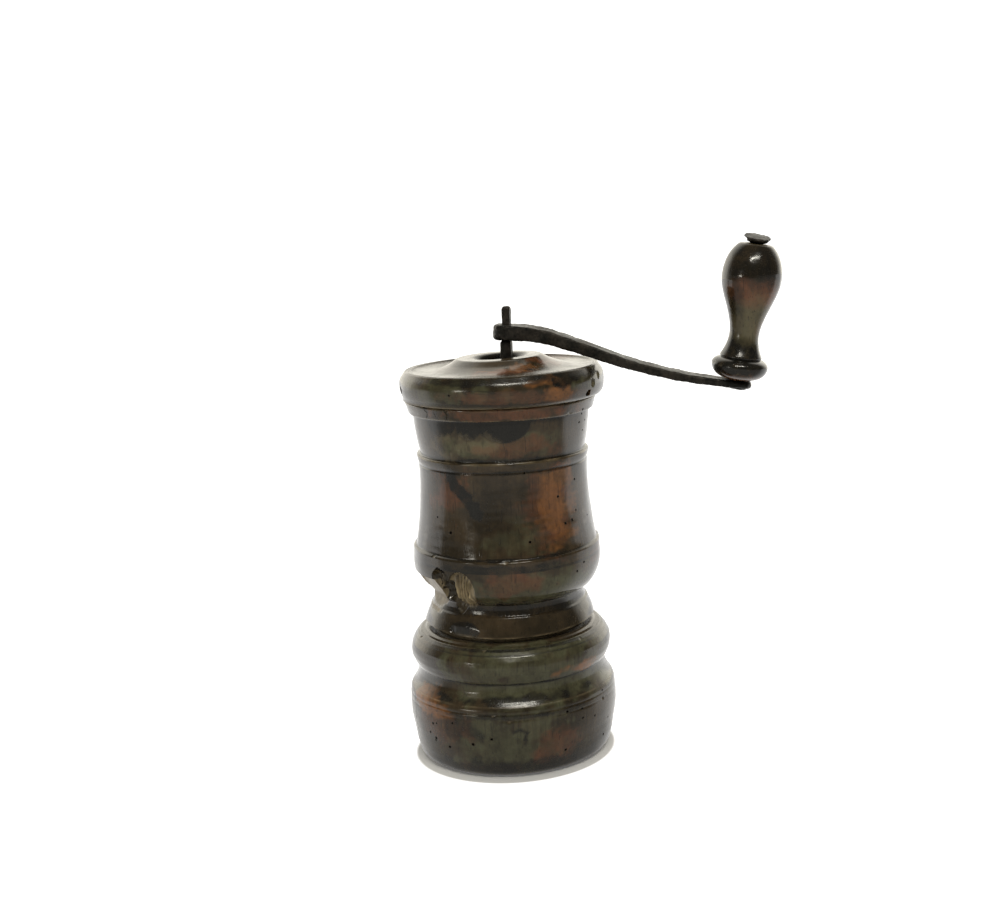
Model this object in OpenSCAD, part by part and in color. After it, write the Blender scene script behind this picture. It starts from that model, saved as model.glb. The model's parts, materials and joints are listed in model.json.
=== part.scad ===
// Hand-cranked coffee grinder of turned wood and forged iron.
// A receiver cup carries the hopper body, the hopper holds the burrs, and a crank turns the spindle.
// The origin is the centre of the foot that the grinder stands on, +Z is up, and the crank points along +X.

/* [Receiver cup] */
// Radius of the foot that the grinder stands on
foot_r = 35; // [31:0.5:40]
// Radius of the drum at its top edge
drum_r = 39.9; // [36:0.1:46]
// How far the drum swells beyond a straight wall
drum_swell = 2.6; // [0:0.1:4]
// Height of the drum
drum_h = 28.9; // [24:0.1:36]
// Width of the step on top of the drum
drum_step = 1.1; // [0.4:0.1:2]
// Height of the cove between the drum and the bead
cove_h = 9; // [7:0.1:14]
// How deep the cove is hollowed
cove_depth = 2; // [0.5:0.1:3]
// How far the foot of the bead stands outside the rim
bead_foot = 2.7; // [1.5:0.1:5]
// Height of the bead
bead_h = 9.6; // [7:0.1:13]
// How far the bead swells
bead_swell = 2.1; // [0.5:0.1:3]
// Height of the shoulder between the bead and the rim
shoulder_h = 5.1; // [3.5:0.1:8]
// Outer radius of the rim
rim_r = 33.2; // [31:0.1:37]
// Wall of the rim round the socket
rim_wall = 4.2; // [3:0.1:5]
// Width of the ledge that the hopper spigot stands on
socket_ledge = 2.2; // [1.5:0.1:3]
// Thickness of the cup's floor
floor_t = 8; // [5:0.5:12]
// Radius of the corner inside the bowl
bowl_round = 10; // [4:0.5:14]

/* [Hopper body] */
// Open line between the cup's rim and the hopper's skirt
joint_gap = 0.7; // [0.3:0.1:1.5]
// How far the skirt's edge stands inside the rim
skirt_inset = 0.4; // [0:0.1:1]
// Height of the skirt
skirt_h = 5.4; // [4:0.1:8]
// How far the skirt narrows towards its top
skirt_taper = 1.8; // [0.5:0.1:2.5]
// Height of the neck
neck_h = 6.5; // [5:0.1:9]
// How deep the neck is hollowed
neck_depth = 0.9; // [0.3:0.1:1.5]
// Radius where the neck meets the collar
neck_r = 29; // [27.5:0.1:31]
// Radius of the collar
collar_r = 36.3; // [33:0.1:40]
// Height of the collar below its widest line
collar_h = 13.4; // [10:0.1:17]
// Height of the collar above its widest line
collar_crown = 0.4; // [0.2:0.1:1.5]
// Height of the groove between the collar and the barrel
groove_h = 1.8; // [1.2:0.1:3]
// Depth of the groove between the collar and the barrel
collar_groove = 1.2; // [0.6:0.1:2]
// Height of the barrel
barrel_h = 34.9; // [30:0.1:44]
// How far the barrel's lip stands inside the collar
lip_in = 0.5; // [0.2:0.1:0.6]
// How deep the barrel is hollowed
barrel_cove = 1.25; // [0:0.05:2]
// Height of the astragal ring
astragal_h = 4.3; // [3.2:0.1:6]
// How far the astragal ring stands out
astragal_out = 1.4; // [0.6:0.1:2]
// Radius at the foot of the frieze above the astragal
frieze_r = 31.5; // [30:0.1:35]
// How far the frieze flares towards its top
frieze_flare = 2.2; // [0.5:0.1:3]
// Height of the frieze
frieze_h = 15.5; // [12:0.1:20]
// Overhang of the top band over the frieze
band_out = 1.5; // [0.8:0.1:2.5]
// How far the top band flares
band_flare = 1.3; // [0.5:0.1:2]
// Height of the top band
band_h = 4.9; // [3.5:0.1:7]
// Wall of the mouth
mouth_wall = 4.2; // [3.5:0.1:6]
// Depth of the mouth down to the upper bridge
mouth_depth = 22.4; // [18:0.2:26]
// How far the hopper's funnel swells
funnel_swell = 1.4; // [0:0.1:2]
// Width of the ledge under the upper bridge
mouth_ledge = 4.2; // [3.8:0.1:5]
// Length of the spigot that enters the cup
spigot_len = 12; // [10:0.2:15]
// Wall of the spigot
spigot_wall = 3.5; // [2.8:0.1:4.5]
// Height of the lower bridge's ledge above the skirt's edge
bridge_ledge_h = 2.7; // [1.5:0.1:4]
// Width of the lower bridge's ledge
bridge_ledge = 4.4; // [4:0.1:5]
// Height of the outlet between the lower bridge and the burr ring
outlet_h = 10; // [8:0.2:13]

/* [Lid] */
// Radius of the lid's rounded edge
lid_r = 39.1; // [37.5:0.1:43]
// Height of the lid's edge
lid_h = 11; // [9:0.1:14]
// Height of the edge's widest line above its lower side
lid_widest = 6.1; // [4.5:0.1:7]
// How far the edge draws in at its lower side
lid_undercut = 1.5; // [0.5:0.1:2]
// Width of the edge's moulding
lid_edge = 4.2; // [3:0.1:6]
// Depth of the line between the edge and the dished top
lid_line = 0.5; // [0.3:0.1:0.8]
// Width of the fillet inside that line
lid_fillet = 1.2; // [0.6:0.1:2]
// How far the dished top sinks below a straight cone
lid_dish = 1.2; // [0:0.1:1.5]
// Radius of the raised boss
boss_r = 17; // [14:0.5:21]
// Height of the boss above the edge
boss_h = 3.7; // [2.5:0.1:5]
// Radius of the hole that the spindle passes through
lid_hole_r = 8.8; // [7.5:0.1:10.5]
// Depth of the spigot under the lid
lid_spigot = 6; // [4:0.2:8]
// Wall of the spigot under the lid
lid_spigot_wall = 4; // [3:0.2:6]
// Thickness of the lid over its hollow
lid_top_t = 6; // [4:0.2:8]

/* [Spindle] */
// Radius of the upper journal
journal_r = 3; // [2.6:0.1:3.6]
// Radius of the lower journal
pivot_r = 2.4; // [2:0.1:2.8]
// Radius of the plain shaft
shaft_r = 3.7; // [3.6:0.1:4.4]
// Radius of the collar under the upper bridge
collar_out_r = 5.2; // [4.6:0.1:6]
// Thickness of that collar
collar_t = 3; // [2:0.1:4]
// Side of the square that drives the burr cone
drive_sq = 5; // [4.4:0.1:5.1]
// Side of the square stem above the upper bridge
stem_sq = 4.2; // [3.8:0.1:4.2]
// Side of the tang that carries the crank
tang_sq = 3.1; // [2.6:0.1:3.4]
// Length of the tang
tang_len = 13.6; // [11:0.2:18]
// Bevel on the end of the tang
tang_bevel = 0.4; // [0.2:0.1:0.8]

/* [Crank] */
// Clearance between the lid's boss and the crank's eye
crank_clear = 5.8; // [4.5:0.1:9]
// Thickness of the eye on the spindle
hub_t = 5.9; // [5:0.1:7]
// Width of the eye on the spindle
hub_w = 10; // [8.5:0.1:12]
// Distance from the spindle to the knob
crank_reach = 91.3; // [82:0.1:105]
// How far the arm falls from the eye to the knob
crank_drop = 19.4; // [15:0.1:21]
// Length over which the arm leaves the eye level
arm_level = 27; // [22:1:34]
// Length over which the arm straightens towards the knob
arm_run = 50; // [42:1:58]
// Slope of the arm's straight run in degrees
arm_slope = 5.7; // [3:0.1:8]
// Thickness of the arm where it meets the knob's pad
arm_tip_t = 2.7; // [2.2:0.1:3]
// Width of the arm at its middle
arm_w = 8.4; // [7:0.1:10]
// Radius of the pad under the knob
pad_r = 5.4; // [4.6:0.1:6.5]
// Thickness of the pad under the knob
pad_t = 2.9; // [2.6:0.1:4]
// Worn bevel round the eye and the pad
iron_bevel = 0.8; // [0.4:0.1:1]

/* [Knob] */
// Lean of the knob away from the spindle in degrees
knob_lean = 8.7; // [5:0.1:11]
// Length of the wooden knob
knob_len = 50.5; // [44:0.5:60]
// Radius of the knob's belly
belly_r = 11; // [10:0.1:14]
// Height of the dome above the belly
dome_h = 12; // [9:0.1:13]
// Roundness of the dome, as its full height over the height that is left
dome_round = 1.17; // [1.1:0.01:1.4]
// Radius of the knob's waist
waist_r = 5.4; // [4.6:0.1:7]
// Height of the waist above the knob's foot
waist_h = 17; // [14:0.5:20]
// Radius of the knob's foot moulding
foot_bead_r = 10.6; // [9:0.1:12]
// Height of the knob's foot moulding
foot_bead_h = 8.3; // [6:0.1:10]
// Height of the foot moulding's widest line
foot_widest = 5.3; // [3.5:0.1:6.5]
// How far the knob's flare stands inside the foot moulding
foot_groove = 3; // [2:0.1:4]
// Radius of the knob's pin
pin_r = 2.2; // [1.8:0.1:2.6]
// Radius of the pin's hammered head
pin_head_r = 5.3; // [4.5:0.1:6]
// Radius of the neck under the pin's head
pin_neck_r = 3.8; // [2.8:0.1:4]
// Thickness of the pin's hammered head
pin_head_t = 1.2; // [0.8:0.1:2]
// Height of the neck under the pin's head
pin_neck_h = 1.2; // [0.6:0.1:1.8]
// Height of the peened end under the arm
peen_h = 0.8; // [0.4:0.1:1.2]

/* [Bridges and burrs] */
// Width of the bridge bars
bar_w = 9; // [8:0.2:11]
// Thickness of the bridge bars
bar_t = 3.1; // [2.4:0.1:4]
// Radius of the boss in the middle of a bridge
bar_boss_r = 5.6; // [5:0.1:6.5]
// Height by which a boss stands out on each side of its bar
bar_boss_h = 1.6; // [1:0.1:2]
// Length of the burr ring above its flange
ring_len = 20; // [16:0.5:24]
// Width of the burr ring's flange
ring_flange = 3.6; // [3.3:0.1:4]
// Thickness of the burr ring's flange
ring_flange_t = 2.5; // [2:0.1:3]
// Wall of the burr ring at its upper end
ring_wall_top = 2.7; // [2.4:0.1:3.4]
// Wall of the burr ring at its lower end
ring_wall_bottom = 5.4; // [4.6:0.1:5.8]
// Number of teeth in the burr ring
ring_teeth = 18; // [14:1:22]
// Number of flutes on the burr cone
cone_flutes = 12; // [9:1:13]
// Depth of the teeth and flutes
tooth_depth = 1.4; // [1:0.1:1.6]
// Slant of the teeth and flutes in degrees
tooth_slant = 14; // [8:1:18]
// Gap between the burrs at their lower end
grind_gap = 0.5; // [0.3:0.1:0.8]
// Radius of the burr cone at its upper end
cone_top_r = 6.6; // [6:0.1:7.5]
// Height by which the burr cone stands above the ring
cone_rise = 3; // [2:0.2:5]
// Radius of the burr cone's cross pin
cross_pin_r = 0.9; // [0.6:0.1:1.1]
// Height of the adjusting screw's thumb piece
thumb_h = 5.6; // [4.5:0.1:6]
// Width of the adjusting screw's thumb piece
thumb_w = 15; // [12:0.5:18]
// Thickness of the adjusting screw's thumb piece
thumb_t = 2.6; // [2:0.1:3.5]
// Side of the square lock nut
nut_w = 8.6; // [7.5:0.1:10]
// Thickness of the lock nut
nut_t = 2.6; // [2:0.1:3.2]

/* [Screws and fits] */
// Radius of the bridge screws
screw_r = 1; // [0.8:0.1:1.2]
// Radius of the bridge screws' heads
screw_head_r = 1.9; // [1.6:0.1:2]
// Length of the bridge screws below their heads
screw_len = 11; // [9:0.5:13]
// Height of the bridge screws' heads
screw_head_h = 1.3; // [1:0.1:1.6]
// Number of screws in the burr ring's flange
ring_screws = 3; // [2:1:6]
// Radius of the burr ring's screws
ring_screw_r = 0.8; // [0.6:0.1:0.9]
// Radius of the burr ring's screw heads
ring_screw_head_r = 1.5; // [1.2:0.1:1.6]
// Length of the burr ring's screws below their heads
ring_screw_len = 8; // [6:0.5:10]
// Softening of the turned edges
arris = 0.6; // [0.3:0.1:0.8]
// Gap between the spindle's foot and the adjusting screw
pivot_gap = 0.2; // [0.1:0.05:0.4]
// Gap between the lock nut and the thumb piece
thumb_gap = 0.5; // [0.3:0.1:1]
// Clearance of pieces that are fixed in one another
seat_clear = 0.05; // [0.02:0.01:0.1]
// Clearance of shafts that turn in a bore
run_clear = 0.08; // [0.02:0.01:0.1]
// Clearance of wooden pieces that lift apart
wood_clear = 0.3; // [0.2:0.05:0.5]

/* [Hidden] */
$fn = 96;

// Colours of the dark turned wood and of the forged iron
cup_brown = "#4a3a22";
body_brown = "#4d3220";
lid_brown = "#5a3a28";
knob_brown = "#3c2418";
forged_iron = "#35312c";
bright_iron = "#6b6760";

// Levels of the cup's mouldings
z_bead = drum_h + cove_h;
z_shoulder = z_bead + bead_h;
cup_h = z_shoulder + shoulder_h;

// Levels of the hopper's mouldings and of the lid
z_skirt = cup_h + joint_gap;
z_neck = z_skirt + skirt_h;
z_collar = z_neck + neck_h;
z_widest = z_collar + collar_h;
z_groove = z_widest + collar_crown;
z_barrel = z_groove + groove_h;
z_astragal = z_barrel + barrel_h;
z_frieze = z_astragal + astragal_h;
z_band = z_frieze + frieze_h;
z_lid = z_band + band_h;
z_lid_edge = z_lid + lid_h;
z_boss = z_lid_edge + boss_h;

// Radii of the hopper's outline and of its mouth
skirt_r = rim_r - skirt_inset;
barrel_foot_r = collar_r - lip_in;
barrel_top_r = frieze_r + 1.5 * arris;
frieze_top_r = frieze_r + frieze_flare;
mouth_r = frieze_r - mouth_wall;
funnel_r = mouth_r - mouth_ledge;

// Radii of the socket, the spigot and the hollow that narrows towards the burrs
socket_r = rim_r - rim_wall;
bowl_r = socket_r - socket_ledge;
spigot_r = socket_r - wood_clear;
chamber_r = spigot_r - spigot_wall;
outlet_r = chamber_r - bridge_ledge;
flange_r = outlet_r - wood_clear;
ring_r = flange_r - ring_flange;
throat_r = ring_r - ring_wall_top;

// Levels inside the hopper
z_spigot = z_skirt - spigot_len;
z_lower_ledge = z_skirt + bridge_ledge_h;
z_ring = z_lower_ledge + outlet_h;
z_ring_top = z_ring + ring_len;
z_ring_foot = z_ring - ring_flange_t;
z_upper_ledge = z_lid - mouth_depth;

// Burr cone
cone_foot_r = ring_r - ring_wall_bottom - grind_gap;
z_cone_top = z_ring_top + cone_rise;
cone_h = z_cone_top - z_ring_foot;

// Bridges, lock nut and the places of the screws
z_upper_bar = z_upper_ledge + bar_t;
z_lower_bar = z_lower_ledge - bar_t;
z_nut = z_lower_bar - bar_boss_h;
lower_screw_at = chamber_r - bridge_ledge / 2;
upper_screw_at = mouth_r - mouth_ledge / 2;
ring_screw_at = ring_r + ring_flange / 2;

// Levels of the spindle
z_pivot = z_lower_bar + bar_t / 2;
z_pivot_top = z_lower_ledge + bar_boss_h + wood_clear;
z_spindle_collar = z_upper_ledge - bar_boss_h - wood_clear;
z_stem = z_upper_bar + bar_boss_h + wood_clear;
z_eye = z_boss + crank_clear;
z_eye_top = z_eye + hub_t;
z_tip = z_eye + tang_len;

// Crank arm, whose side view follows a curve with two handles
hub_r = hub_w / 2;
hub_mid = [hub_r, z_eye + hub_t / 2];
lean_axis = [sin(knob_lean), cos(knob_lean)];
knob_foot = [crank_reach, hub_mid.y - crank_drop] + lean_axis * pad_t / 2;
arm_end = knob_foot - lean_axis * pad_t / 2;
arm_path = [hub_mid, hub_mid + [arm_level, 0],
            arm_end + arm_run * [-cos(arm_slope), sin(arm_slope)], arm_end];

// Knob on its pin
knob_gap = wood_clear;
belly_h = knob_len - dome_h;

// Points from a towards b, without b, on a curve that is off the straight line by swell half way
function bow(a, b, swell, n = 8) =
    [for (i = [0:n - 1]) let (t = i / n) a + (b - a) * t + 4 * swell * t * (1 - t)];

// Points from a towards b, without b, on an S-curve
function ogee(a, b, n = 10) =
    [for (i = [0:n - 1])
        let (t = i / n, s = t * t * (3 - 2 * t))
        [a.x + (b.x - a.x) * s, a.y + (b.y - a.y) * t]];

// Points on an oval arc between two angles
function oval(centre, rx, rz, from, to, n = 8) =
    [for (i = [0:n]) let (a = from + (to - from) * i / n) centre + [rx * cos(a), rz * sin(a)]];

// Point and direction on a curve with two handles
function curve_at(p, t) =
    p[0] * pow(1 - t, 3) + p[1] * 3 * t * pow(1 - t, 2) + p[2] * 3 * t * t * (1 - t) + p[3] * pow(t, 3);
function curve_way(p, t) =
    (p[1] - p[0]) * pow(1 - t, 2) + (p[2] - p[1]) * 2 * t * (1 - t) + (p[3] - p[2]) * t * t;
function left_of(v) = [-v.y, v.x] / norm(v);

// Point on the upper (sign 1) or lower (sign -1) edge of the arm's side view
function arm_edge(t, sign) =
    let (half = (hub_t + (arm_tip_t - hub_t) * t) / 2)
    curve_at(arm_path, t) + sign * half * left_of(curve_way(arm_path, t));

// Half the arm's width in plan, which narrows between the eye and the pad
function arm_half(t) =
    let (middle = arm_w - (hub_r + pad_r) / 2)
    hub_r * pow(1 - t, 2) + middle * 2 * t * (1 - t) + pad_r * t * t;

// Places its children across the spindle, on the burr cone's cross pin
module at_cross_pin() {
    translate([0, 0, z_cone_top - cone_rise])
        rotate([90, 0, 0])
            children();
}

// A disc between two levels
module disc(r, from, to) {
    translate([0, 0, from])
        cylinder(r = r, h = to - from);
}

// A disc with worn arrises between two levels
module worn_disc(r, from, to) {
    rotate_extrude()
        polygon([[0, from], [r - iron_bevel, from], [r, from + iron_bevel], [r, to - iron_bevel],
                 [r - iron_bevel, to], [0, to]]);
}

// A bar of square section between two levels
module square_bar(side, from, to) {
    translate([-side / 2, -side / 2, from])
        cube([side, side, to - from]);
}

// Places its children at the knob's foot, along the leaning pin
module at_knob() {
    translate([knob_foot.x, 0, knob_foot.y])
        rotate([0, knob_lean, 0])
            children();
}

// Places its children at both ends of a bridge
module at_bar_ends(reach) {
    for (side = [-1, 1])
        translate([side * reach, 0, 0])
            children();
}

// Places its children round the burr ring's flange
module at_ring_screws() {
    for (i = [0:ring_screws - 1])
        rotate(90 + i * 360 / ring_screws)
            translate([ring_screw_at, 0, 0])
                children();
}

// A slotted round-head screw that points down, with the underside of its head at z = 0
module screw(r, head_r, head_h, len) {
    slot_w = r / 2;
    outline = concat([[0, -len], [r / 3, -len], [r, 2 * r - len], [r, 0], [head_r, 0]],
                     oval([0, 0], head_r, head_h, 20, 90, 5));
    difference() {
        rotate_extrude()
            polygon(outline);
        translate([-head_r, -slot_w / 2, head_h / 2])
            cube([2 * head_r, slot_w, head_h]);
    }
}

// A flat bar whose round ends follow a bore, with a bossed hole in its middle
module bridge_bar(bore_r, from, hole_r, screw_at) {
    to = from + bar_t;
    difference() {
        union() {
            intersection() {
                disc(bore_r - wood_clear, from, to);
                translate([-bore_r, -bar_w / 2, from])
                    cube([2 * bore_r, bar_w, bar_t]);
            }
            disc(bar_boss_r, from - bar_boss_h, to + bar_boss_h);
        }
        disc(hole_r, from - 2 * bar_boss_h, to + 2 * bar_boss_h);
        at_bar_ends(screw_at)
            disc(screw_r + seat_clear, from - bar_t, to + bar_t);
    }
}

// Slanted V grooves along a cone of radius r0 at its lower level and r1 at its upper one
module slanted_grooves(count, r0, r1, from, to) {
    flare = atan((r1 - r0) / (to - from));
    for (i = [0:count - 1])
        rotate((i + 0.5) * 360 / count)
            translate([(r0 + r1) / 2, 0, (from + to) / 2])
                rotate([tooth_slant, flare, 0])
                    cylinder(r = tooth_depth, h = 2 * (to - from), center = true, $fn = 4);
}

module receiver_cup() {
    bead_foot_r = rim_r + bead_foot;
    outside = concat(
        [[0, 0]],
        bow([foot_r, 0], [drum_r, drum_h], [drum_swell, 0]),
        [[drum_r, drum_h]],
        bow([drum_r - drum_step, drum_h + arris], [bead_foot_r - arris, z_bead], [-cove_depth, 0]),
        bow([bead_foot_r, z_bead], [bead_foot_r + arris, z_shoulder], [bead_swell, 0]),
        [[bead_foot_r + arris, z_shoulder]],
        bow([bead_foot_r, z_shoulder + arris / 2], [rim_r, cup_h - arris], [arris, 0], 4),
        [[rim_r, cup_h - arris], [rim_r - arris, cup_h]]);
    inside = concat(
        [[socket_r, cup_h], [socket_r, z_spigot], [bowl_r, z_spigot]],
        oval([bowl_r - bowl_round, floor_t + bowl_round], bowl_round, bowl_round, 0, -90, 6),
        [[0, floor_t]]);
    color(cup_brown)
        rotate_extrude()
            polygon(concat(outside, inside));
}

module hopper_body() {
    skirt_top_r = skirt_r - skirt_taper;
    collar_in_r = neck_r - 2 * arris;
    astragal_r = frieze_r + astragal_out;
    band_r = frieze_top_r + band_out;
    outside = concat(
        [[spigot_r, z_spigot], [spigot_r, z_skirt], [skirt_r - arris / 2, z_skirt]],
        bow([skirt_r, z_skirt + arris / 2], [skirt_top_r, z_neck], [-arris / 2, 0], 4),
        bow([skirt_top_r, z_neck], [neck_r, z_collar], [-neck_depth, 0], 6),
        oval([collar_in_r, z_widest], collar_r - collar_in_r, collar_h, -80, 0, 10),
        [[collar_r - arris / 3, z_groove], [collar_r - collar_groove, z_groove + groove_h / 3],
         [collar_r - collar_groove, z_barrel - arris / 2], [barrel_foot_r - arris / 4, z_barrel]],
        bow([barrel_foot_r, z_barrel + arris / 2], [barrel_top_r, z_astragal], [-barrel_cove, 0], 10),
        [[barrel_top_r, z_astragal], [barrel_top_r - arris / 2, z_astragal + arris / 2]],
        bow([astragal_r - arris, z_astragal + arris], [astragal_r, z_frieze - arris], [arris / 3, 0], 4),
        [[astragal_r, z_frieze - arris], [astragal_r - arris / 2, z_frieze - arris / 3]],
        bow([frieze_r, z_frieze], [frieze_top_r, z_band], [arris / 2, 0], 6),
        [[frieze_top_r, z_band], [band_r, z_band], [band_r + band_flare, z_lid - arris],
         [band_r + band_flare - arris, z_lid]]);
    inside = concat(
        [[mouth_r, z_lid], [mouth_r, z_upper_ledge]],
        bow([funnel_r, z_upper_ledge], [throat_r, z_ring_top], [funnel_swell, 0], 6),
        [[throat_r, z_ring_top], [ring_r + seat_clear, z_ring_top], [ring_r + seat_clear, z_ring],
         [outlet_r, z_ring], [outlet_r, z_lower_ledge], [chamber_r, z_lower_ledge],
         [chamber_r, z_spigot]]);
    color(body_brown)
        difference() {
            rotate_extrude()
                polygon(concat(outside, inside));
            at_bar_ends(lower_screw_at)
                disc(screw_r + seat_clear, z_lower_bar, z_lower_bar + screw_len + seat_clear);
            at_bar_ends(upper_screw_at)
                disc(screw_r + seat_clear, z_upper_bar - screw_len - seat_clear, z_upper_bar);
            at_ring_screws()
                disc(ring_screw_r + seat_clear, z_ring_foot, z_ring_foot + ring_screw_len + seat_clear);
        }
}

module lid() {
    spigot_out = mouth_r - wood_clear;
    hollow_r = spigot_out - lid_spigot_wall;
    z_hollow = z_lid_edge - lid_top_t;
    edge_in_r = lid_r - lid_edge;
    dish_r = edge_in_r - 2 * lid_line - lid_fillet;
    edge_mid = [edge_in_r - lid_line, z_lid + lid_widest];
    edge_half = lid_r - edge_mid.x;
    under_angle = acos(1 - lid_undercut / edge_half);
    under_h = (lid_widest - arris) / sin(under_angle);
    profile = concat(
        [[spigot_out, z_lid - lid_spigot], [spigot_out, z_lid], [lid_r - lid_undercut - arris, z_lid]],
        oval(edge_mid, edge_half, under_h, -under_angle, -8, 5),
        oval(edge_mid, edge_half, z_lid_edge - edge_mid.y, 0, 80, 8),
        [[edge_in_r - lid_line, z_lid_edge - lid_line]],
        [[edge_in_r - 2 * lid_line, z_lid_edge], [dish_r, z_lid_edge]],
        bow([dish_r - lid_line / 2, z_lid_edge - lid_line], [boss_r + lid_line, z_boss - 2 * arris],
            [0, -lid_dish], 8),
        [[boss_r, z_boss - arris], [boss_r - arris, z_boss - arris / 4], [boss_r - 2 * arris, z_boss]],
        [[lid_hole_r + arris, z_boss - arris], [lid_hole_r, z_boss - 2 * arris], [lid_hole_r, z_hollow]],
        bow([lid_hole_r + arris, z_hollow], [hollow_r, z_lid], [lid_spigot_wall / 2, 0], 5),
        [[hollow_r, z_lid], [hollow_r, z_lid - lid_spigot]]);
    color(lid_brown)
        rotate_extrude()
            polygon(profile);
}

module spindle() {
    tip_r = tang_sq / 2 - tang_bevel;
    color(forged_iron)
        difference() {
            union() {
                disc(pivot_r, z_pivot, z_ring_foot);
                square_bar(drive_sq, z_pivot_top, z_cone_top + collar_t);
                disc(shaft_r, z_cone_top, z_spindle_collar);
                disc(collar_out_r, z_spindle_collar - collar_t, z_spindle_collar);
                disc(journal_r, z_spindle_collar - collar_t, z_stem + arris);
                square_bar(stem_sq, z_stem, z_eye);
                intersection() {
                    square_bar(tang_sq, z_stem, z_tip);
                    rotate_extrude()
                        polygon([[0, z_stem], [tang_sq, z_stem], [tang_sq, z_tip - tang_sq + tip_r],
                                 [tip_r, z_tip], [0, z_tip]]);
                }
            }
            at_cross_pin()
                cylinder(r = cross_pin_r + seat_clear, h = 4 * shaft_r, center = true);
        }
}

module crank_arm() {
    steps = 16;
    side_view = concat(
        [[0, z_eye_top]],
        [for (i = [0:steps]) arm_edge(i / steps, 1)],
        [for (i = [steps:-1:0]) arm_edge(i / steps, -1)],
        [[0, z_eye]]);
    plan = concat(
        [for (i = [0:steps]) [arm_end.x * i / steps, arm_half(i / steps)]],
        [for (i = [steps:-1:0]) [arm_end.x * i / steps, -arm_half(i / steps)]]);
    z_low = arm_end.y - hub_t;
    color(forged_iron)
        difference() {
            union() {
                intersection() {
                    translate([0, hub_w, 0])
                        rotate([90, 0, 0])
                            linear_extrude(2 * hub_w)
                                polygon(side_view);
                    translate([0, 0, z_low])
                        linear_extrude(z_eye_top + hub_t - z_low)
                            polygon(plan);
                }
                worn_disc(hub_r, z_eye, z_eye_top);
                at_knob()
                    worn_disc(pad_r, -pad_t, 0);
            }
            square_bar(tang_sq + 2 * seat_clear, z_eye - hub_t, z_eye_top + hub_t);
            at_knob()
                disc(pin_r + seat_clear, -2 * pad_t, pad_t);
        }
}

module knob_pin() {
    z_neck_foot = knob_len + 2 * knob_gap;
    z_head = z_neck_foot + pin_neck_h;
    z_head_top = z_head + pin_head_t;
    peen_r = pin_r + 2 * peen_h;
    profile = concat(
        [[0, -pad_t - peen_h], [pin_r, -pad_t - peen_h], [peen_r, -pad_t - peen_h / 3], [peen_r, -pad_t],
         [pin_r, -pad_t], [pin_r, z_neck_foot], [pin_neck_r, z_neck_foot]],
        [[pin_head_r - pin_head_t, z_head], [pin_head_r, z_head + pin_head_t / 2],
         [pin_head_r - pin_head_t / 3, z_head_top], [0, z_head_top]]);
    color(forged_iron)
        at_knob()
            rotate_extrude()
                polygon(profile);
}

module crank_knob() {
    bead_in_r = foot_bead_r / 2;
    bead_out = foot_bead_r - bead_in_r;
    flare_r = foot_bead_r - foot_groove + arris / 2;
    bore_r = pin_r + run_clear;
    profile = concat(
        [[bore_r, 0], [bead_in_r, 0]],
        oval([bead_in_r, foot_widest], bead_out, foot_widest - arris / 2, -70, 0, 5),
        oval([bead_in_r, foot_widest], bead_out, foot_bead_h - foot_widest, 15, 55, 3),
        [[flare_r - arris, foot_bead_h - arris / 2], [flare_r - arris / 4, foot_bead_h]],
        bow([flare_r, foot_bead_h + arris / 2], [waist_r, waist_h], [-arris, 0], 6),
        ogee([waist_r, waist_h], [belly_r, belly_h], 10),
        oval([0, belly_h], belly_r, dome_h * dome_round, 0, asin(1 / dome_round), 8),
        [[bore_r, knob_len]]);
    color(knob_brown)
        at_knob()
            translate([0, 0, knob_gap])
                rotate_extrude()
                    polygon(profile);
}

module upper_bridge() {
    color(forged_iron)
        bridge_bar(mouth_r, z_upper_ledge, journal_r + run_clear, upper_screw_at);
}

module upper_bridge_screws() {
    color(bright_iron)
        at_bar_ends(upper_screw_at)
            translate([0, 0, z_upper_bar])
                screw(screw_r, screw_head_r, screw_head_h, screw_len);
}

module lower_bridge() {
    color(forged_iron)
        bridge_bar(chamber_r, z_lower_bar, pivot_r + run_clear, lower_screw_at);
}

module lower_bridge_screws() {
    color(bright_iron)
        at_bar_ends(lower_screw_at)
            translate([0, 0, z_lower_bar])
                mirror([0, 0, 1])
                    screw(screw_r, screw_head_r, screw_head_h, screw_len);
}

module burr_ring() {
    bore_top = ring_r - ring_wall_top;
    bore_foot = ring_r - ring_wall_bottom;
    color(forged_iron)
        difference() {
            rotate_extrude()
                polygon([[bore_foot, z_ring_foot], [flange_r, z_ring_foot], [flange_r, z_ring],
                         [ring_r, z_ring], [ring_r, z_ring_top], [bore_top, z_ring_top]]);
            slanted_grooves(ring_teeth, bore_foot, bore_top, z_ring_foot, z_ring_top);
            at_ring_screws()
                disc(ring_screw_r + seat_clear, z_ring_foot - 1, z_ring + 1);
        }
}

module burr_ring_screws() {
    color(bright_iron)
        at_ring_screws()
            translate([0, 0, z_ring_foot])
                mirror([0, 0, 1])
                    screw(ring_screw_r, ring_screw_head_r, screw_head_h, ring_screw_len);
}

module burr_cone() {
    color(forged_iron)
        difference() {
            translate([0, 0, z_ring_foot])
                cylinder(r1 = cone_foot_r, r2 = cone_top_r, h = cone_h);
            slanted_grooves(cone_flutes, cone_foot_r, cone_top_r, z_ring_foot, z_cone_top);
            square_bar(drive_sq + 2 * seat_clear, z_ring_foot - 1, z_cone_top + 1);
            at_cross_pin()
                cylinder(r = cross_pin_r + seat_clear, h = 4 * cone_top_r, center = true);
        }
}

module burr_cone_pin() {
    color(bright_iron)
        at_cross_pin()
            cylinder(r = cross_pin_r, h = 2 * cone_top_r, center = true);
}

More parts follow.
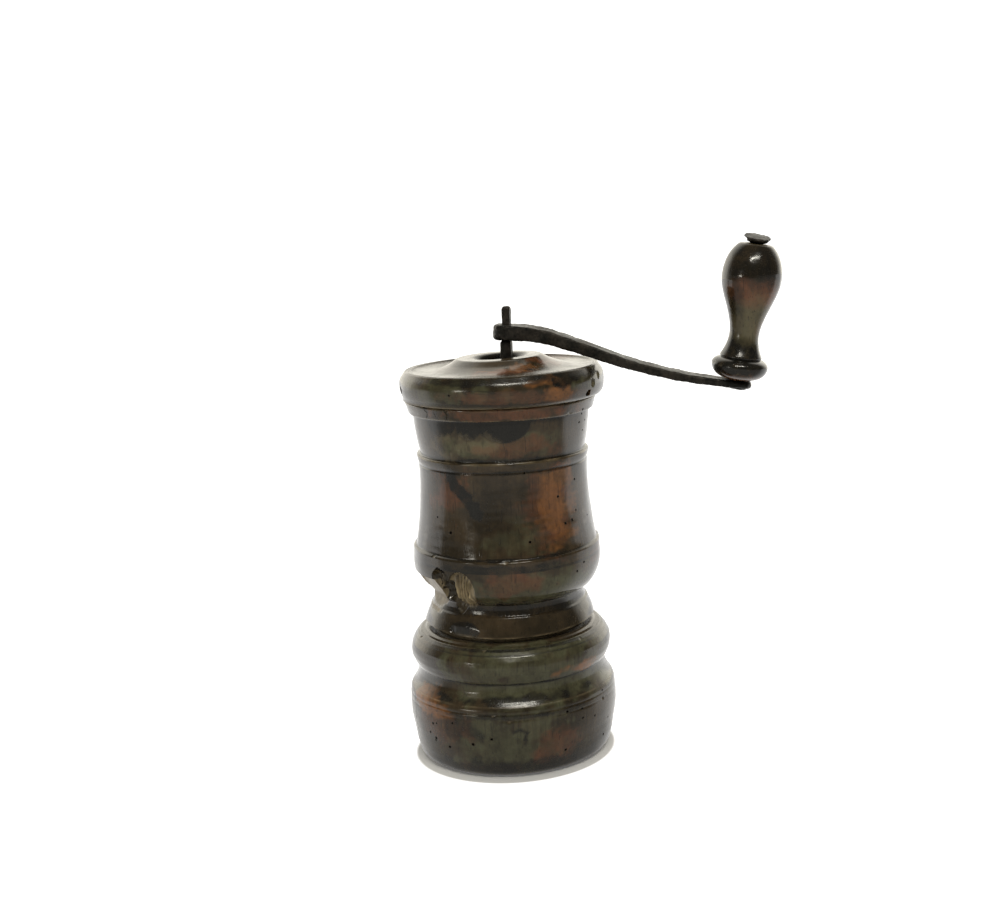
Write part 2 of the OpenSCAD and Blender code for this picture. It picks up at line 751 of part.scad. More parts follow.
module adjusting_screw() {
    z_thumb = z_nut - nut_t - thumb_gap;
    color(bright_iron)
        union() {
            disc(pivot_r, z_thumb - thumb_h / 2, z_pivot - pivot_gap);
            intersection() {
                translate([-thumb_w / 2, -thumb_t / 2, z_thumb - thumb_h])
                    cube([thumb_w, thumb_t, thumb_h]);
                translate([0, 0, z_thumb - thumb_h + thumb_w / 2])
                    rotate([90, 0, 0])
                        cylinder(r = thumb_w / 2, h = 2 * thumb_t, center = true);
            }
        }
}

module lock_nut() {
    color(forged_iron)
        difference() {
            square_bar(nut_w, z_nut - nut_t, z_nut);
            disc(pivot_r + run_clear, z_nut - 2 * nut_t, z_nut + nut_t);
        }
}

receiver_cup();
hopper_body();
lid();
spindle();
crank_arm();
knob_pin();
crank_knob();
upper_bridge();
upper_bridge_screws();
burr_cone();
burr_cone_pin();
burr_ring();
burr_ring_screws();
lower_bridge();
lower_bridge_screws();
adjusting_screw();
lock_nut();
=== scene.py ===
import json
import math

import bmesh
import bpy
import numpy as np
from bpy.props import FloatProperty, FloatVectorProperty, IntProperty, PointerProperty
from mathutils import Matrix, Vector


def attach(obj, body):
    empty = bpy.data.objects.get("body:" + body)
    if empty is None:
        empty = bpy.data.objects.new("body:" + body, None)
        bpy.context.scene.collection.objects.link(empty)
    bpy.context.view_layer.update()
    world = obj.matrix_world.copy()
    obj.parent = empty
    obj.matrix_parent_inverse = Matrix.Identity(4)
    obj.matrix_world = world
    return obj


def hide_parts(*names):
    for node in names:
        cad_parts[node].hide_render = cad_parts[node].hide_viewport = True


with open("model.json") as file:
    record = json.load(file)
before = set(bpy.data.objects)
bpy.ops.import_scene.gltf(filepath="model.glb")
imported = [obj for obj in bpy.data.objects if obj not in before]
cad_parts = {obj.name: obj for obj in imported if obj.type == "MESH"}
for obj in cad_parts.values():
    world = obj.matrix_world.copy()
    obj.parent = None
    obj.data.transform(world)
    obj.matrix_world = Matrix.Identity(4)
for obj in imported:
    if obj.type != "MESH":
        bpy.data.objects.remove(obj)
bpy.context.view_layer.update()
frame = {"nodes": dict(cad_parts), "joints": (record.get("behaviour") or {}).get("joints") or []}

bl_info = {
    "name": "Turned wood coffee grinder",
    "version": (1, 0, 0),
    "blender": (4, 5, 0),
    "location": "View3D > Sidebar > Grinder",
    "description": "Dresses the coffee grinder's frame in worn varnished wood and forged iron",
    "category": "Object",
}

JOINTS = {joint["name"]: joint for joint in frame["joints"]}
MM = 0.001
MASKS = ("red", "orange", "olive", "black", "bare")
# Headings are degrees round the axis, from +X towards +Y: the side that faces the camera, and the one at its right
PHOTO_SIDE = -75
PHOTO_RIGHT = 15
# In millimetres, a patch so wide that it goes all round, and a limit so far out that it limits nothing
ALL_ROUND = 1e4
FAR = 1e3


def picked(red, green, blue):
    """Linear colour from the 0 to 255 values of a colour picker."""
    return tuple(c / 3294.6 if c < 10.4 else ((c / 255 + 0.055) / 1.055) ** 2.4 for c in (red, green, blue))


def colour(name, description, value):
    return FloatVectorProperty(name=name, description=description, default=value, subtype="COLOR", min=0, max=1)


def length(name, description, value, low, high):
    """A length, given in millimetres."""
    return FloatProperty(name=name, description=description, default=value * MM, min=low * MM, max=high * MM,
                         unit="LENGTH", precision=5)


def power(name, description, value):
    return FloatProperty(name=name, description=description, default=value, unit="POWER")


# Sizes and colours that a user would change
class WoodSettings(bpy.types.PropertyGroup):
    """The turned and varnished wood."""
    brown: colour("Varnish brown", "Main colour of the varnished wood", picked(64, 53, 38))
    deep: colour("Deep brown", "Darker clouds in the varnish", picked(45, 38, 26))
    red: colour("Red brown", "Where the varnish has worn thin", picked(97, 62, 42))
    orange: colour("Orange brown", "Where the stain has worn off as well", picked(126, 84, 48))
    olive: colour("Olive", "Greenish grey film of old wax", picked(78, 78, 58))
    # Laid mostly as grime, and in a few places as painted shade and painted dark reflection.
    black: colour("Grime black", "Grime in hollows and handled places", picked(20, 19, 16))
    # Laid mostly on bare and broken wood, and on the knob's front as a painted sheen.
    bare: colour("Bare wood", "Broken and unvarnished wood", picked(172, 154, 120))
    gloss: FloatProperty(name="Roughness", description="Roughness of sound varnish", default=0.13, min=0.05,
                         max=0.9, subtype="FACTOR")
    sway: length("Out of round", "How far the old wood has moved out of round", 0.2, 0, 1)
    worm_radius: length("Worm hole radius", "Mean radius of a worm hole", 0.62, 0.2, 2)
    worm_depth: length("Worm hole depth", "How deep the worm holes are cut", 2.4, 0.5, 4)
    worm_seed: IntProperty(name="Worm hole seed", description="Seed for the stray worm holes", default=7, min=0)


class IronSettings(bpy.types.PropertyGroup):
    """The forged iron."""
    iron: colour("Iron", "Dark skin of the forged iron", picked(31, 31, 28))
    rust: colour("Rust", "Old brown rust", picked(46, 37, 28))
    bright: colour("Rubbed iron", "Places that hands and wear keep bright", picked(66, 64, 58))
    hammer: length("Hammer marks", "Depth of the hammer marks", 0.16, 0, 0.6)
    grain: length("Mesh size", "Size of the faces of the forged pieces", 0.45, 0.3, 2)


class StageSettings(bpy.types.PropertyGroup):
    """Floor, light and camera."""
    place: FloatVectorProperty(name="Camera place", description="Where the camera stands", size=3,
                               default=(0.14318, -0.54132, 0.21888), subtype="TRANSLATION", unit="LENGTH")
    turn: FloatVectorProperty(name="Camera turn", description="How the camera is turned", size=3, subtype="EULER",
                              default=tuple(math.radians(a) for a in (79.319, 1.523, 8.664)))
    lens: FloatProperty(name="Lens", description="Focal length in millimetres", default=52.68, min=10)
    shift: FloatProperty(name="Shift", description="Sideways shift of the frame", default=-0.1512)
    window: power("Window light", "Power of the soft window light", 0.7)
    strip: power("Strip light", "Power of the narrow light above the camera", 4.6)
    fill: power("Top light", "Power of the broad light from above", 3.4)
    sides: power("Side lights", "Power of the tall light at each side", 1.0)
    tint: colour("Light colour", "Colour of the light", (1.0, 0.96, 0.85))
    backdrop: FloatProperty(name="Backdrop level", description="Brightness of the wall behind the grinder",
                            default=1.7, min=0, max=4)
    room: FloatProperty(name="Room level", description="Brightness of the room behind the camera", default=0.11,
                        min=0, max=1)


# Node tree shorthand
class Web:
    """Puts nodes in a tree and joins them."""

    def __init__(self, tree):
        self.tree = tree

    def put(self, kind, inputs=None, **settings):
        node = self.tree.nodes.new(kind)
        for name, value in settings.items():
            setattr(node, name, value)
        for key, value in (inputs or {}).items():
            if isinstance(value, bpy.types.NodeSocket):
                self.tree.links.new(value, node.inputs[key])
            else:
                node.inputs[key].default_value = value
        return node

    def math(self, how, a, b, clamp=False):
        return self.put("ShaderNodeMath", {0: a, 1: b}, operation=how, use_clamp=clamp).outputs[0]

    def times(self, a, b, clamp=False):
        return self.math("MULTIPLY", a, b, clamp)

    def more(self, base, extra, share, clamp=False):
        """The base and a share of the extra."""
        return self.math("ADD", base, self.times(extra, share), clamp)

    def vector(self, how, a, b, result="Vector"):
        return self.put("ShaderNodeVectorMath", {0: a, 1: b}, operation=how).outputs[result]

    def noise(self, vector, scale, detail, rough=0.55):
        return self.put("ShaderNodeTexNoise", {"Vector": vector, "Scale": scale, "Detail": detail,
                                               "Roughness": rough}).outputs["Fac"]

    def span(self, value, low, high, to_low=0.0, to_high=1.0):
        return self.put("ShaderNodeMapRange", {0: value, 1: low, 2: high, 3: to_low, 4: to_high},
                        interpolation_type="SMOOTHSTEP").outputs[0]

    def blend(self, factor, a, b, how="MIX"):
        return self.put("ShaderNodeMix", {0: factor, 6: a, 7: b}, data_type="RGBA", blend_type=how).outputs[2]

    def grey(self, value):
        return self.put("ShaderNodeCombineColor", {0: value, 1: value, 2: value}).outputs[0]

    def surface(self, kind, inputs):
        """Ends a material with a shader."""
        self.put("ShaderNodeOutputMaterial", {"Surface": self.put(kind, inputs).outputs[0]})


def rgba(value):
    return (*value, 1.0)


def shared(store, name, make):
    """The data block of that name, made when it is first asked for."""
    return store[name] if name in store else make(name)


def new_group(name, kind, inputs, outputs):
    """Node group with sockets from (label, kind, value) rows. Returns its Web and what it is given."""
    tree = bpy.data.node_groups.new(name, kind)
    for where, rows in (("INPUT", inputs), ("OUTPUT", outputs)):
        for label, socket_kind, *value in rows:
            socket = tree.interface.new_socket(label, in_out=where, socket_type="NodeSocket" + socket_kind)
            if value:
                socket.default_value = value[0]
    web = Web(tree)
    return web, web.put("NodeGroupInput").outputs


def aged_varnish(name):
    """Varnished wood: clouds, worn and grimy patches, some of them painted shade, painted dark reflection and painted
    sheen, grain streaks, pores and dirt.
    """
    wood = bpy.context.scene.grinder_wood
    web, given = new_group(
        name, "ShaderNodeTree",
        [("Vector", "Vector"), ("Gloss", "Float", 0.2)] + [(mask + " mask", "Float", 0.0) for mask in MASKS]
        + [(shade, "Color", rgba(getattr(wood, shade))) for shade in ("brown", "deep", *MASKS)],
        [("Base Color", "Color"), ("Roughness", "Float"), ("Height", "Float")])
    place = given["Vector"]
    clouds = web.noise(place, 62.0, 4.0)
    mottle = web.noise(place, 210.0, 4.0, 0.65)
    streaks = web.noise(web.vector("MULTIPLY", place, (1.0, 1.0, 0.09)), 520.0, 3.0)
    pores = web.noise(web.vector("MULTIPLY", place, (1.0, 1.0, 0.05)), 1500.0, 1.0)
    specks = web.noise(place, 1500.0, 2.0)
    shade = web.blend(web.span(clouds, 0.38, 0.62), given["brown"], given["deep"])
    for mask in ("olive", "red", "orange", "black"):
        uneven = web.times(given[mask + " mask"], web.span(mottle, 0.28, 0.68, 0.5, 1.25), clamp=True)
        shade = web.blend(uneven, shade, given[mask])
    shade = web.blend(1.0, shade, web.grey(web.span(streaks, 0.3, 0.7, 0.86, 1.12)), "MULTIPLY")
    raw = web.blend(web.span(streaks, 0.3, 0.75, 0.0, 0.55), given["bare"], given["deep"])
    shade = web.blend(given["bare mask"], shade, raw)
    pore_mask = web.times(web.span(pores, 0.62, 0.72), 0.4)
    speck_mask = web.times(web.span(specks, 0.66, 0.74), 0.5)
    for dirt in (pore_mask, speck_mask):
        shade = web.blend(dirt, shade, given["black"])
    rough = web.math("ADD", given["Gloss"], web.span(mottle, 0.4, 0.75, 0.0, 0.1))
    rough = web.more(rough, given["bare mask"], 0.5)
    rough = web.more(rough, given["black mask"], 0.06)
    rough = web.more(rough, speck_mask, 0.5, clamp=True)
    height = web.more(web.times(streaks, 0.35), mottle, 0.6)
    height = web.more(web.more(height, pore_mask, -0.5), speck_mask, -0.35)
    web.put("NodeGroupOutput", {"Base Color": shade, "Roughness": rough, "Height": height})
    return web.tree


def forged_skin(name):
    """Forged iron: dark scale, brown rust, rubbed places and pits."""
    metal = bpy.context.scene.grinder_iron
    web, given = new_group(
        name, "ShaderNodeTree",
        [("Vector", "Vector"), ("Rust", "Float", 0.5), ("Rubbed", "Float", 0.4)]
        + [(shade, "Color", rgba(getattr(metal, shade))) for shade in ("iron", "rust", "bright")],
        [("Base Color", "Color"), ("Roughness", "Float"), ("Metallic", "Float"), ("Height", "Float")])
    place = given["Vector"]
    clouds = web.noise(place, 130.0, 5.0, 0.6)
    pits = web.noise(place, 900.0, 3.0, 0.6)
    rubs = web.noise(place, 260.0, 4.0, 0.7)
    rust = web.times(web.span(web.more(clouds, pits, 0.25), 0.5, 0.78), given["Rust"], clamp=True)
    rubbed = web.times(web.span(rubs, 0.5, 0.68), given["Rubbed"], clamp=True)
    shade = web.blend(rubbed, given["iron"], given["bright"])
    shade = web.blend(rust, shade, given["rust"])
    shade = web.blend(1.0, shade, web.grey(web.span(pits, 0.3, 0.5, 0.55, 1.0)), "MULTIPLY")
    rough = web.more(web.span(pits, 0.3, 0.7, 0.5, 0.3), rust, 0.3, clamp=True)
    metallic = web.more(0.75, rust, -0.65, clamp=True)
    height = web.more(web.times(pits, 0.5), clouds, 0.6)
    web.put("NodeGroupOutput", {"Base Color": shade, "Roughness": rough, "Metallic": metallic, "Height": height})
    return web.tree


def blank_material(name):
    """A new material, its Web and its Object coordinates."""
    material = bpy.data.materials.new(name)
    material.use_nodes = True
    material.node_tree.nodes.clear()
    web = Web(material.node_tree)
    return material, web, web.put("ShaderNodeTexCoord").outputs["Object"]


def skin_material(name, skin, strength, distance, shift, tilt=(0.0, 0.0, 0.0), masks=(), **inputs):
    """Material with a skin group and its bump; each mask is read from the piece's attribute of that name."""
    material, web, place = blank_material(name)
    inputs["Vector"] = web.put("ShaderNodeMapping", {"Vector": place, "Rotation": tilt, "Location": shift}).outputs[0]
    for mask in masks:
        inputs[mask + " mask"] = web.put("ShaderNodeAttribute", attribute_name=mask).outputs["Fac"]
    looks = {socket.name: socket for socket in web.put("ShaderNodeGroup", inputs, node_tree=skin).outputs}
    bump = web.put("ShaderNodeBump", {"Height": looks.pop("Height"), "Strength": strength, "Distance": distance})
    web.surface("ShaderNodeBsdfPrincipled", {**looks, "Normal": bump.outputs[0]})
    return material


def wood_material(name, gloss, shift=(0.0, 0.0, 0.0), tilt=(0.0, 0.0, 0.0)):
    """Varnished wood, rougher than sound varnish by gloss; tilt lays the grain along the piece."""
    skin = shared(bpy.data.node_groups, "aged_varnish", aged_varnish)
    return skin_material(name, skin, 0.15, 0.0005, shift, tilt, MASKS,
                         Gloss=bpy.context.scene.grinder_wood.gloss + gloss)


def iron_material(name, rust, rubbed, shift=(0.0, 0.0, 0.0)):
    """Forged iron with some rust and some rubbed places."""
    skin = shared(bpy.data.node_groups, "forged_skin", forged_skin)
    return skin_material(name, skin, 0.45, 0.0006, shift, Rust=rust, Rubbed=rubbed)


def worm_bore(name):
    """Dust-dark wood inside a worm hole."""
    material, web, place = blank_material(name)
    dust = web.noise(place, 2500.0, 2.0)
    web.surface("ShaderNodeBsdfPrincipled", {
        "Base Color": web.blend(dust, rgba(picked(14, 12, 10)), rgba(picked(44, 36, 26))),
        "Roughness": web.span(dust, 0.3, 0.7, 0.75, 0.95)})
    return material


def add_object(name, data):
    """A new object in the scene."""
    thing = bpy.data.objects.new(name, data)
    bpy.context.scene.collection.objects.link(thing)
    return thing


# Reading a turned piece's half-section from the frame
def half_section(node, to_local):
    """Radius and height of each ring of a turned node, in order round its half-section, in millimetres."""
    fit, whole_ring = 0.03, 16
    work = bmesh.new()
    work.from_mesh(frame["nodes"][node].data)
    bmesh.ops.remove_doubles(work, verts=work.verts, dist=1e-6)
    work.verts.index_update()
    near, rings, ring_of = {}, [], {}
    for vertex in work.verts:
        local = (to_local @ vertex.co) / MM
        r, z = math.hypot(local.x, local.y), local.z
        cell = (int(r // fit), int(z // fit))
        around = [i for a in (0, -1, 1) for b in (0, -1, 1) for i in near.get((cell[0] + a, cell[1] + b), ())]
        match = next((i for i in around if abs(rings[i][0] - r) < fit and abs(rings[i][1] - z) < fit), None)
        if match is None:
            match = len(rings)
            rings.append([r, z, 0])
            near.setdefault(cell, []).append(match)
        rings[match][2] += 1
        ring_of[vertex.index] = match
    links = {}
    for edge in work.edges:
        a, b = (ring_of[v.index] for v in edge.verts)
        if a != b and min(rings[a][2], rings[b][2]) >= whole_ring:
            links.setdefault(a, set()).add(b)
            links.setdefault(b, set()).add(a)
    work.free()
    ends = [i for i in links if len(links[i]) == 1]
    here = ends[0] if ends else max(links, key=lambda i: rings[i][0])
    walk = []
    while here is not None:
        walk.append(here)
        here = min((i for i in links[here] if i not in walk), default=None,
                   key=lambda i: math.dist(rings[i][:2], rings[walk[-1]][:2]))
    line = np.array([rings[i][:2] for i in walk])
    if ends:
        line = np.vstack([[0.0, line[0, 1]], line, [0.0, line[-1, 1]]])
    after = np.roll(line, -1, axis=0)
    if np.sum(line[:, 0] * after[:, 1] - after[:, 0] * line[:, 1]) < 0:
        line = line[::-1]
    return line, not ends


def smooth_run(run):
    """Catmull-Rom line through a run of section points."""
    if len(run) == 2:
        return run
    padded = np.vstack([2 * run[0] - run[1], run, 2 * run[-1] - run[-2]])
    t = np.linspace(0, 1, 9)[:-1, None]
    parts = []
    for i in range(len(run) - 1):
        a, b, c, d = padded[i:i + 4]
        parts.append(0.5 * (2 * b + (c - a) * t + (2 * a - 5 * b + 4 * c - d) * t ** 2
                            + (3 * b - a - 3 * c + d) * t ** 3))
    return np.vstack(parts + [run[-1:]])


def eased(values):
    """Each value drawn towards its neighbours in a ring."""
    return 0.25 * np.roll(values, 1, 0) + 0.5 * values + 0.25 * np.roll(values, -1, 0)


def fine_section(line, closed, step):
    """Section resampled at step(r, z) millimetres, smooth between arrises and slightly softened on them."""
    arris, soften = 30.0, 2
    loop = np.vstack([line, line[:1]]) if closed else line
    way = np.diff(loop, axis=0)
    turn = np.degrees(np.abs(np.diff(np.unwrap(np.arctan2(way[:, 1], way[:, 0])))))
    cuts = [0] + [i + 1 for i in range(len(turn)) if turn[i] > arris] + [len(loop) - 1]
    out = []
    for a, b in zip(cuts[:-1], cuts[1:]):
        run = smooth_run(loop[a:b + 1])
        gaps = np.hypot(*np.diff(run, axis=0).T)
        sizes = np.array([step(*p) for p in (run[:-1] + run[1:]) / 2])
        reach = np.concatenate([[0], np.cumsum(gaps / sizes)])
        count = max(1, int(math.ceil(reach[-1])))
        at = np.linspace(0, reach[-1], count + 1)[:-1]
        out.append(np.column_stack([np.interp(at, reach, run[:, k]) for k in (0, 1)]))
    fine = np.vstack(out if closed else out + [loop[-1:]])
    for _ in range(soften):
        softer = eased(fine)
        fine = softer if closed else np.vstack([fine[:1], softer[1:-1], fine[-1:]])
    return fine


def field(points, size, seed):
    """Smooth random field, about -1 to 1, with features about size millimetres wide."""
    waves = 16
    dice = np.random.default_rng(seed)
    total = np.zeros(points.shape[:-1])
    for _ in range(waves):
        way = dice.normal(size=3)
        way *= 2 * math.pi / size * dice.uniform(0.6, 1.4) / np.linalg.norm(way)
        total += np.cos(points @ way + dice.uniform(0, 2 * math.pi))
    return total * 0.75 / math.sqrt(waves / 2)


def ramp(value, low, high):
    """Smooth rise from 0 at low to 1 at high."""
    t = np.clip((value - low) / (high - low), 0, 1)
    return t * t * (3 - 2 * t)


class Turning:
    """A turned piece as a grid of rows along its section and columns round its axis, in millimetres."""

    def __init__(self, node, spans, step, outside, to_world=Matrix.Identity(4)):
        """Spans are (first heading, last heading, count of columns); step(r, z) is the rows' size there."""
        self.to_world = to_world
        line, self.closed = half_section(node, to_world.inverted())
        self.line = line = fine_section(line, self.closed, step)
        columns = np.concatenate([np.linspace(a, b, count, endpoint=False) for a, b, count in spans])
        self.az = columns[None, :] + np.zeros((len(line), 1))
        self.r = line[:, :1] + np.zeros((1, len(columns)))
        self.z = line[:, 1:] + np.zeros((1, len(columns)))
        self.r0, self.z0 = self.r.copy(), self.z.copy()
        seen = np.array([outside(*p) for p in line], float)
        for _ in range(3):
            seen = np.minimum(seen, 0.5 * (np.roll(seen, 1) + np.roll(seen, -1)))
        self.seen = seen[:, None]
        self.masks = {mask: np.zeros_like(self.r) for mask in MASKS}
        self.worms, self.cracks = [], []
        way = np.diff(np.vstack([line, line[:1]]), axis=0)
        heading = np.arctan2(way[:, 1], way[:, 0])
        bend = (np.diff(np.concatenate([heading[-1:], heading])) + math.pi) % (2 * math.pi) - math.pi
        bend /= np.maximum(np.hypot(*way.T), 0.2)
        for _ in range(4):
            bend = eased(bend)
        self.bend = bend[:, None]

    def points(self):
        turn = np.radians(self.az)
        return np.stack([self.r * np.cos(turn), self.r * np.sin(turn), self.z], axis=-1)

    def turn_from(self, heading):
        """Radians round the axis from a heading in degrees."""
        return np.radians((self.az - heading + 180) % 360 - 180)

    def off(self, heading):
        """Millimetres round the surface from a heading in degrees."""
        return self.turn_from(heading) * self.r0

    def raise_mask(self, mask, amount):
        self.masks[mask] = np.maximum(self.masks[mask], amount)

    def sway(self, depth, seed):
        """Moves the outside out of round, with faint turning marks."""
        p = self.points()
        self.r += self.seen * (depth * field(p * (1, 1, 0.6), 60, seed) + depth * 0.35 * field(p, 14, seed + 1)
                               + 0.012 * field(p * (0.15, 0.15, 1), 2.0, seed + 2))

    def turn_to(self, *profile):
        """Turns the outside to (height, radius) points, finer than the solid's."""
        heights, radii = np.array(profile).T
        here = (self.z0 > heights[0]) & (self.z0 < heights[-1]) & (self.seen > 0)
        self.r += np.where(here, np.interp(self.z0, heights, radii) - self.r0, 0)

    def lower(self, limit, rough=0.0, seed=0, keep=0.6, most=FAR):
        """Breaks the wood away down to a limiting radius, and bares it."""
        if rough:
            p = self.points()
            limit = limit + rough * (field(p * (1, 1, 0.12), 1.6, seed) + 0.7 * field(p, 3.0, seed + 1))
        gone = np.clip(self.r - limit, 0, most) * (self.seen > 0)
        self.r -= gone
        self.raise_mask("bare", keep * ramp(gone, 0.05, 0.5))

    def scoop(self, heading, z, wide, high, depth, **how):
        """A broken hollow with an oval outline; depth is measured from the surface at its middle."""
        flat = (self.off(heading) / wide) ** 2 + ((self.z0 - z) / high) ** 2
        inside = flat < 1
        if inside.any():
            middle = self.r0[np.unravel_index(np.argmin(flat), flat.shape)]
            limit = middle - depth * np.sqrt(np.clip(1 - flat, 0, 1)) + 0.15
            self.lower(np.where(inside, limit, FAR), **how)

    def facet(self, heading, rise, distance, reach, low, high, **how):
        """A flat break across the curved outside; it runs out past some degrees of its heading and below a height."""
        per_degree, per_mm = 0.35, 1.2
        turn = self.turn_from(heading)
        lean = math.radians(rise)
        limit = (distance - math.sin(lean) * self.z0) / (math.cos(lean) * np.clip(np.cos(turn), 0.2, 1))
        limit += (per_degree * np.clip(np.abs(np.degrees(turn)) - reach, 0, None)
                  + per_mm * np.clip(low - self.z0, 0, None))
        inside = (np.abs(turn) < 1.4) & (self.z0 > low - 5) & (self.z0 < high)
        self.lower(np.where(inside, limit, FAR), **how)

    def fibres(self, heading, z, wide, high, pitch, depth, seed):
        """Upright torn fibres, pale on their crests and dark between them."""
        x, y = self.off(heading), self.z0 - z
        inside = ramp(1 - (x / wide) ** 2 - (y / high) ** 2, 0.0, 0.5) * (self.seen > 0)
        shake = field(self.points() * (1, 1, 0.25), 4.0, seed)
        wave = 0.5 + 0.5 * np.sin(2 * math.pi * (x - 0.02 * y * y) / pitch + 2.2 * shake)
        self.r -= depth * inside * wave
        self.masks["bare"] *= 1 - inside
        self.raise_mask("bare", inside * (1 - 0.6 * wave))
        self.raise_mask("black", 0.45 * inside * wave ** 2)

    def crack(self, path, width, depth, seed, raise_mask=0.7, spread=1.0, full=0.9):
        """A crack cut along (heading, height) points, with grime beside it; with no width it is grime alone."""
        shake = 0.6 * field(self.points(), 3.0, 90 + seed)
        best = np.full(self.r.shape, FAR)
        for (a0, z0), (a1, z1) in zip(path[:-1], path[1:]):
            x, y = self.off(a0) + shake, self.z0 - z0
            dx, dy = np.radians(a1 - a0) * self.r0, z1 - z0
            t = np.clip((x * dx + y * dy) / np.maximum(dx * dx + dy * dy, 1e-6), 0, 1)
            best = np.minimum(best, np.hypot(x - t * dx, y - t * dy))
        near = np.clip(1 - best / spread, 0, 1) * (self.seen > 0)
        self.raise_mask("black", raise_mask * ramp(near, 0.05, full))
        if width:
            self.cracks.append((path, width, depth, seed))

    def blade(self, path, width, depth, seed):
        """Corners of a tapering wedge along a crack: two above the surface and one below, for each step."""
        radius, step, proud = 34, 1.3, 0.6
        dice = np.random.default_rng(500 + seed)
        trail = []
        for (a0, z0), (a1, z1) in zip(path[:-1], path[1:]):
            count = max(2, int(math.hypot(math.radians(a1 - a0) * radius, z1 - z0) / step))
            trail += [(a0 + (a1 - a0) * i / count, z0 + (z1 - z0) * i / count) for i in range(count)]
        trail.append(path[-1])
        spots = [self.surface_at(a + dice.normal(0, 0.45), z + dice.normal(0, 0.2)) for a, z in trail]
        corners = []
        for i, (p, n) in enumerate(spots):
            way = (spots[min(i + 1, len(spots) - 1)][0] - spots[max(i - 1, 0)][0]).normalized()
            open_ = max(0.12, math.sin(math.pi * (i + 0.3) / (len(spots) - 0.4)) ** 0.7 * dice.uniform(0.6, 1.2))
            half = n.cross(way).normalized() * width * open_ / 2
            corners.append([p + half + n * proud, p - half + n * proud, p - n * depth * open_])
        return corners

    def nicks(self, heights, count, seed, size):
        """Small chips along arrises at the given heights."""
        dice = np.random.default_rng(seed)
        for _ in range(count):
            width = dice.uniform(*size)
            self.scoop(dice.uniform(-180, 180), dice.choice(heights) + dice.uniform(-0.4, 0.4), width,
                       width * dice.uniform(0.4, 0.8), dice.uniform(0.2, 0.45), keep=0.3, most=0.35)

    def patch(self, mask, heading, z, wide, high, strength, radius=None, seed=0, crisp=0.0, below=FAR, ragged=1.0):
        """A patch in a mask with a ragged outline, mostly a stain, in places painted shade, a painted dark reflection
        or a painted sheen; with a radius it lies on a flat top instead.
        """
        p = self.points()
        other = (self.z0 - z) if radius is None else (self.r0 - radius)
        dist = np.sqrt((self.off(heading) / wide) ** 2 + (other / high) ** 2)
        dist += ragged * (1 - crisp) * (0.3 * field(p, 9, seed + 300) + 0.12 * field(p, 2.5, seed + 301))
        here = (self.z0 < below) if radius is None else (np.abs(self.z0 - z) < 4)
        self.raise_mask(mask, strength * ramp(-dist, -1.15, -0.55 - 0.45 * crisp) * (self.seen > 0) * here)

    def patches(self, rows, first_seed, **how):
        for n, row in enumerate(rows):
            self.patch(*row, seed=first_seed + n, **how)

    def weather(self, wear=0.28):
        """Wear on arrises, grime in hollows, and dry coffee-dark wood inside."""
        grime, inside_bare, inside_black = 0.8, 0.45, 0.55
        ragged = 0.6 + 0.5 * field(self.points(), 8, 51)
        self.raise_mask("bare", wear * ramp(self.bend, 0.25, 1.2) * np.clip(ragged, 0, 1) * self.seen)
        self.raise_mask("black", grime * ramp(-self.bend, 0.12, 0.7) * self.seen)
        self.raise_mask("bare", inside_bare * (1 - self.seen))
        self.raise_mask("black", inside_black * (1 - self.seen))

    def worms_at(self, *spots, size=1.0):
        self.worms += [(heading, z, size) for heading, z in spots]

    def stray_worms(self, count, low, high, seed):
        dice = np.random.default_rng(seed)
        self.worms += [(dice.uniform(-180, 180), dice.uniform(low, high), dice.uniform(0.7, 1.25))
                       for _ in range(count)]

    def surface_at(self, heading, z):
        """Point and outward normal of the outside at a heading and height."""
        gap = np.abs(self.off(heading)) + np.abs(self.z0 - z) * 1.5 + FAR * (self.seen <= 0)
        i, j = np.unravel_index(np.argmin(gap), gap.shape)
        turn = math.radians(self.az[i, j])
        along = self.line[min(i + 2, len(self.line) - 1)] - self.line[max(i - 2, 0)]
        normal = Vector((along[1] * math.cos(turn), along[1] * math.sin(turn), -along[0])).normalized()
        return Vector((self.r[i, j] * math.cos(turn), self.r[i, j] * math.sin(turn), self.z[i, j])), normal

    def build(self, name, material):
        """Closed mesh of the grid, with its masks, then its worm holes and cracks."""
        points, masks = self.points(), self.masks
        ends = points[[0, -1], 0]
        if not self.closed:
            points, masks = points[1:-1], {mask: values[1:-1] for mask, values in masks.items()}
        rows, cols = points.shape[:2]
        verts = points.reshape(-1, 3)
        values = {mask: given.reshape(-1) for mask, given in masks.items()}
        grid = np.arange(rows * cols).reshape(rows, cols)
        low, high = (grid, np.roll(grid, -1, axis=0)) if self.closed else (grid[:-1], grid[1:])
        faces = np.stack([low, np.roll(low, -1, 1), np.roll(high, -1, 1), high], axis=-1).reshape(-1, 4).tolist()
        if not self.closed:
            first, last = len(verts), (rows - 1) * cols
            verts = np.vstack([verts, ends])
            for j in range(cols):
                k = (j + 1) % cols
                faces += [[first, k, j], [last + j, last + k, first + 1]]
            values = {mask: np.concatenate([given, given[:1], given[-1:]]) for mask, given in values.items()}
        mesh = bpy.data.meshes.new(name)
        mesh.from_pydata((verts * MM).tolist(), [], faces)
        for mask in MASKS:
            mesh.attributes.new(mask, "FLOAT", "POINT").data.foreach_set("value", values[mask].astype(np.float32))
        mesh.transform(self.to_world)
        mesh.materials.append(material)
        piece = add_object(name, mesh)
        if self.worms:
            cut_holes_and_cracks(piece, self)
        piece.data.polygons.foreach_set("use_smooth", [True] * len(piece.data.polygons))
        piece.data.set_sharp_from_angle(angle=math.radians(42))
        piece.data.update()
        return piece


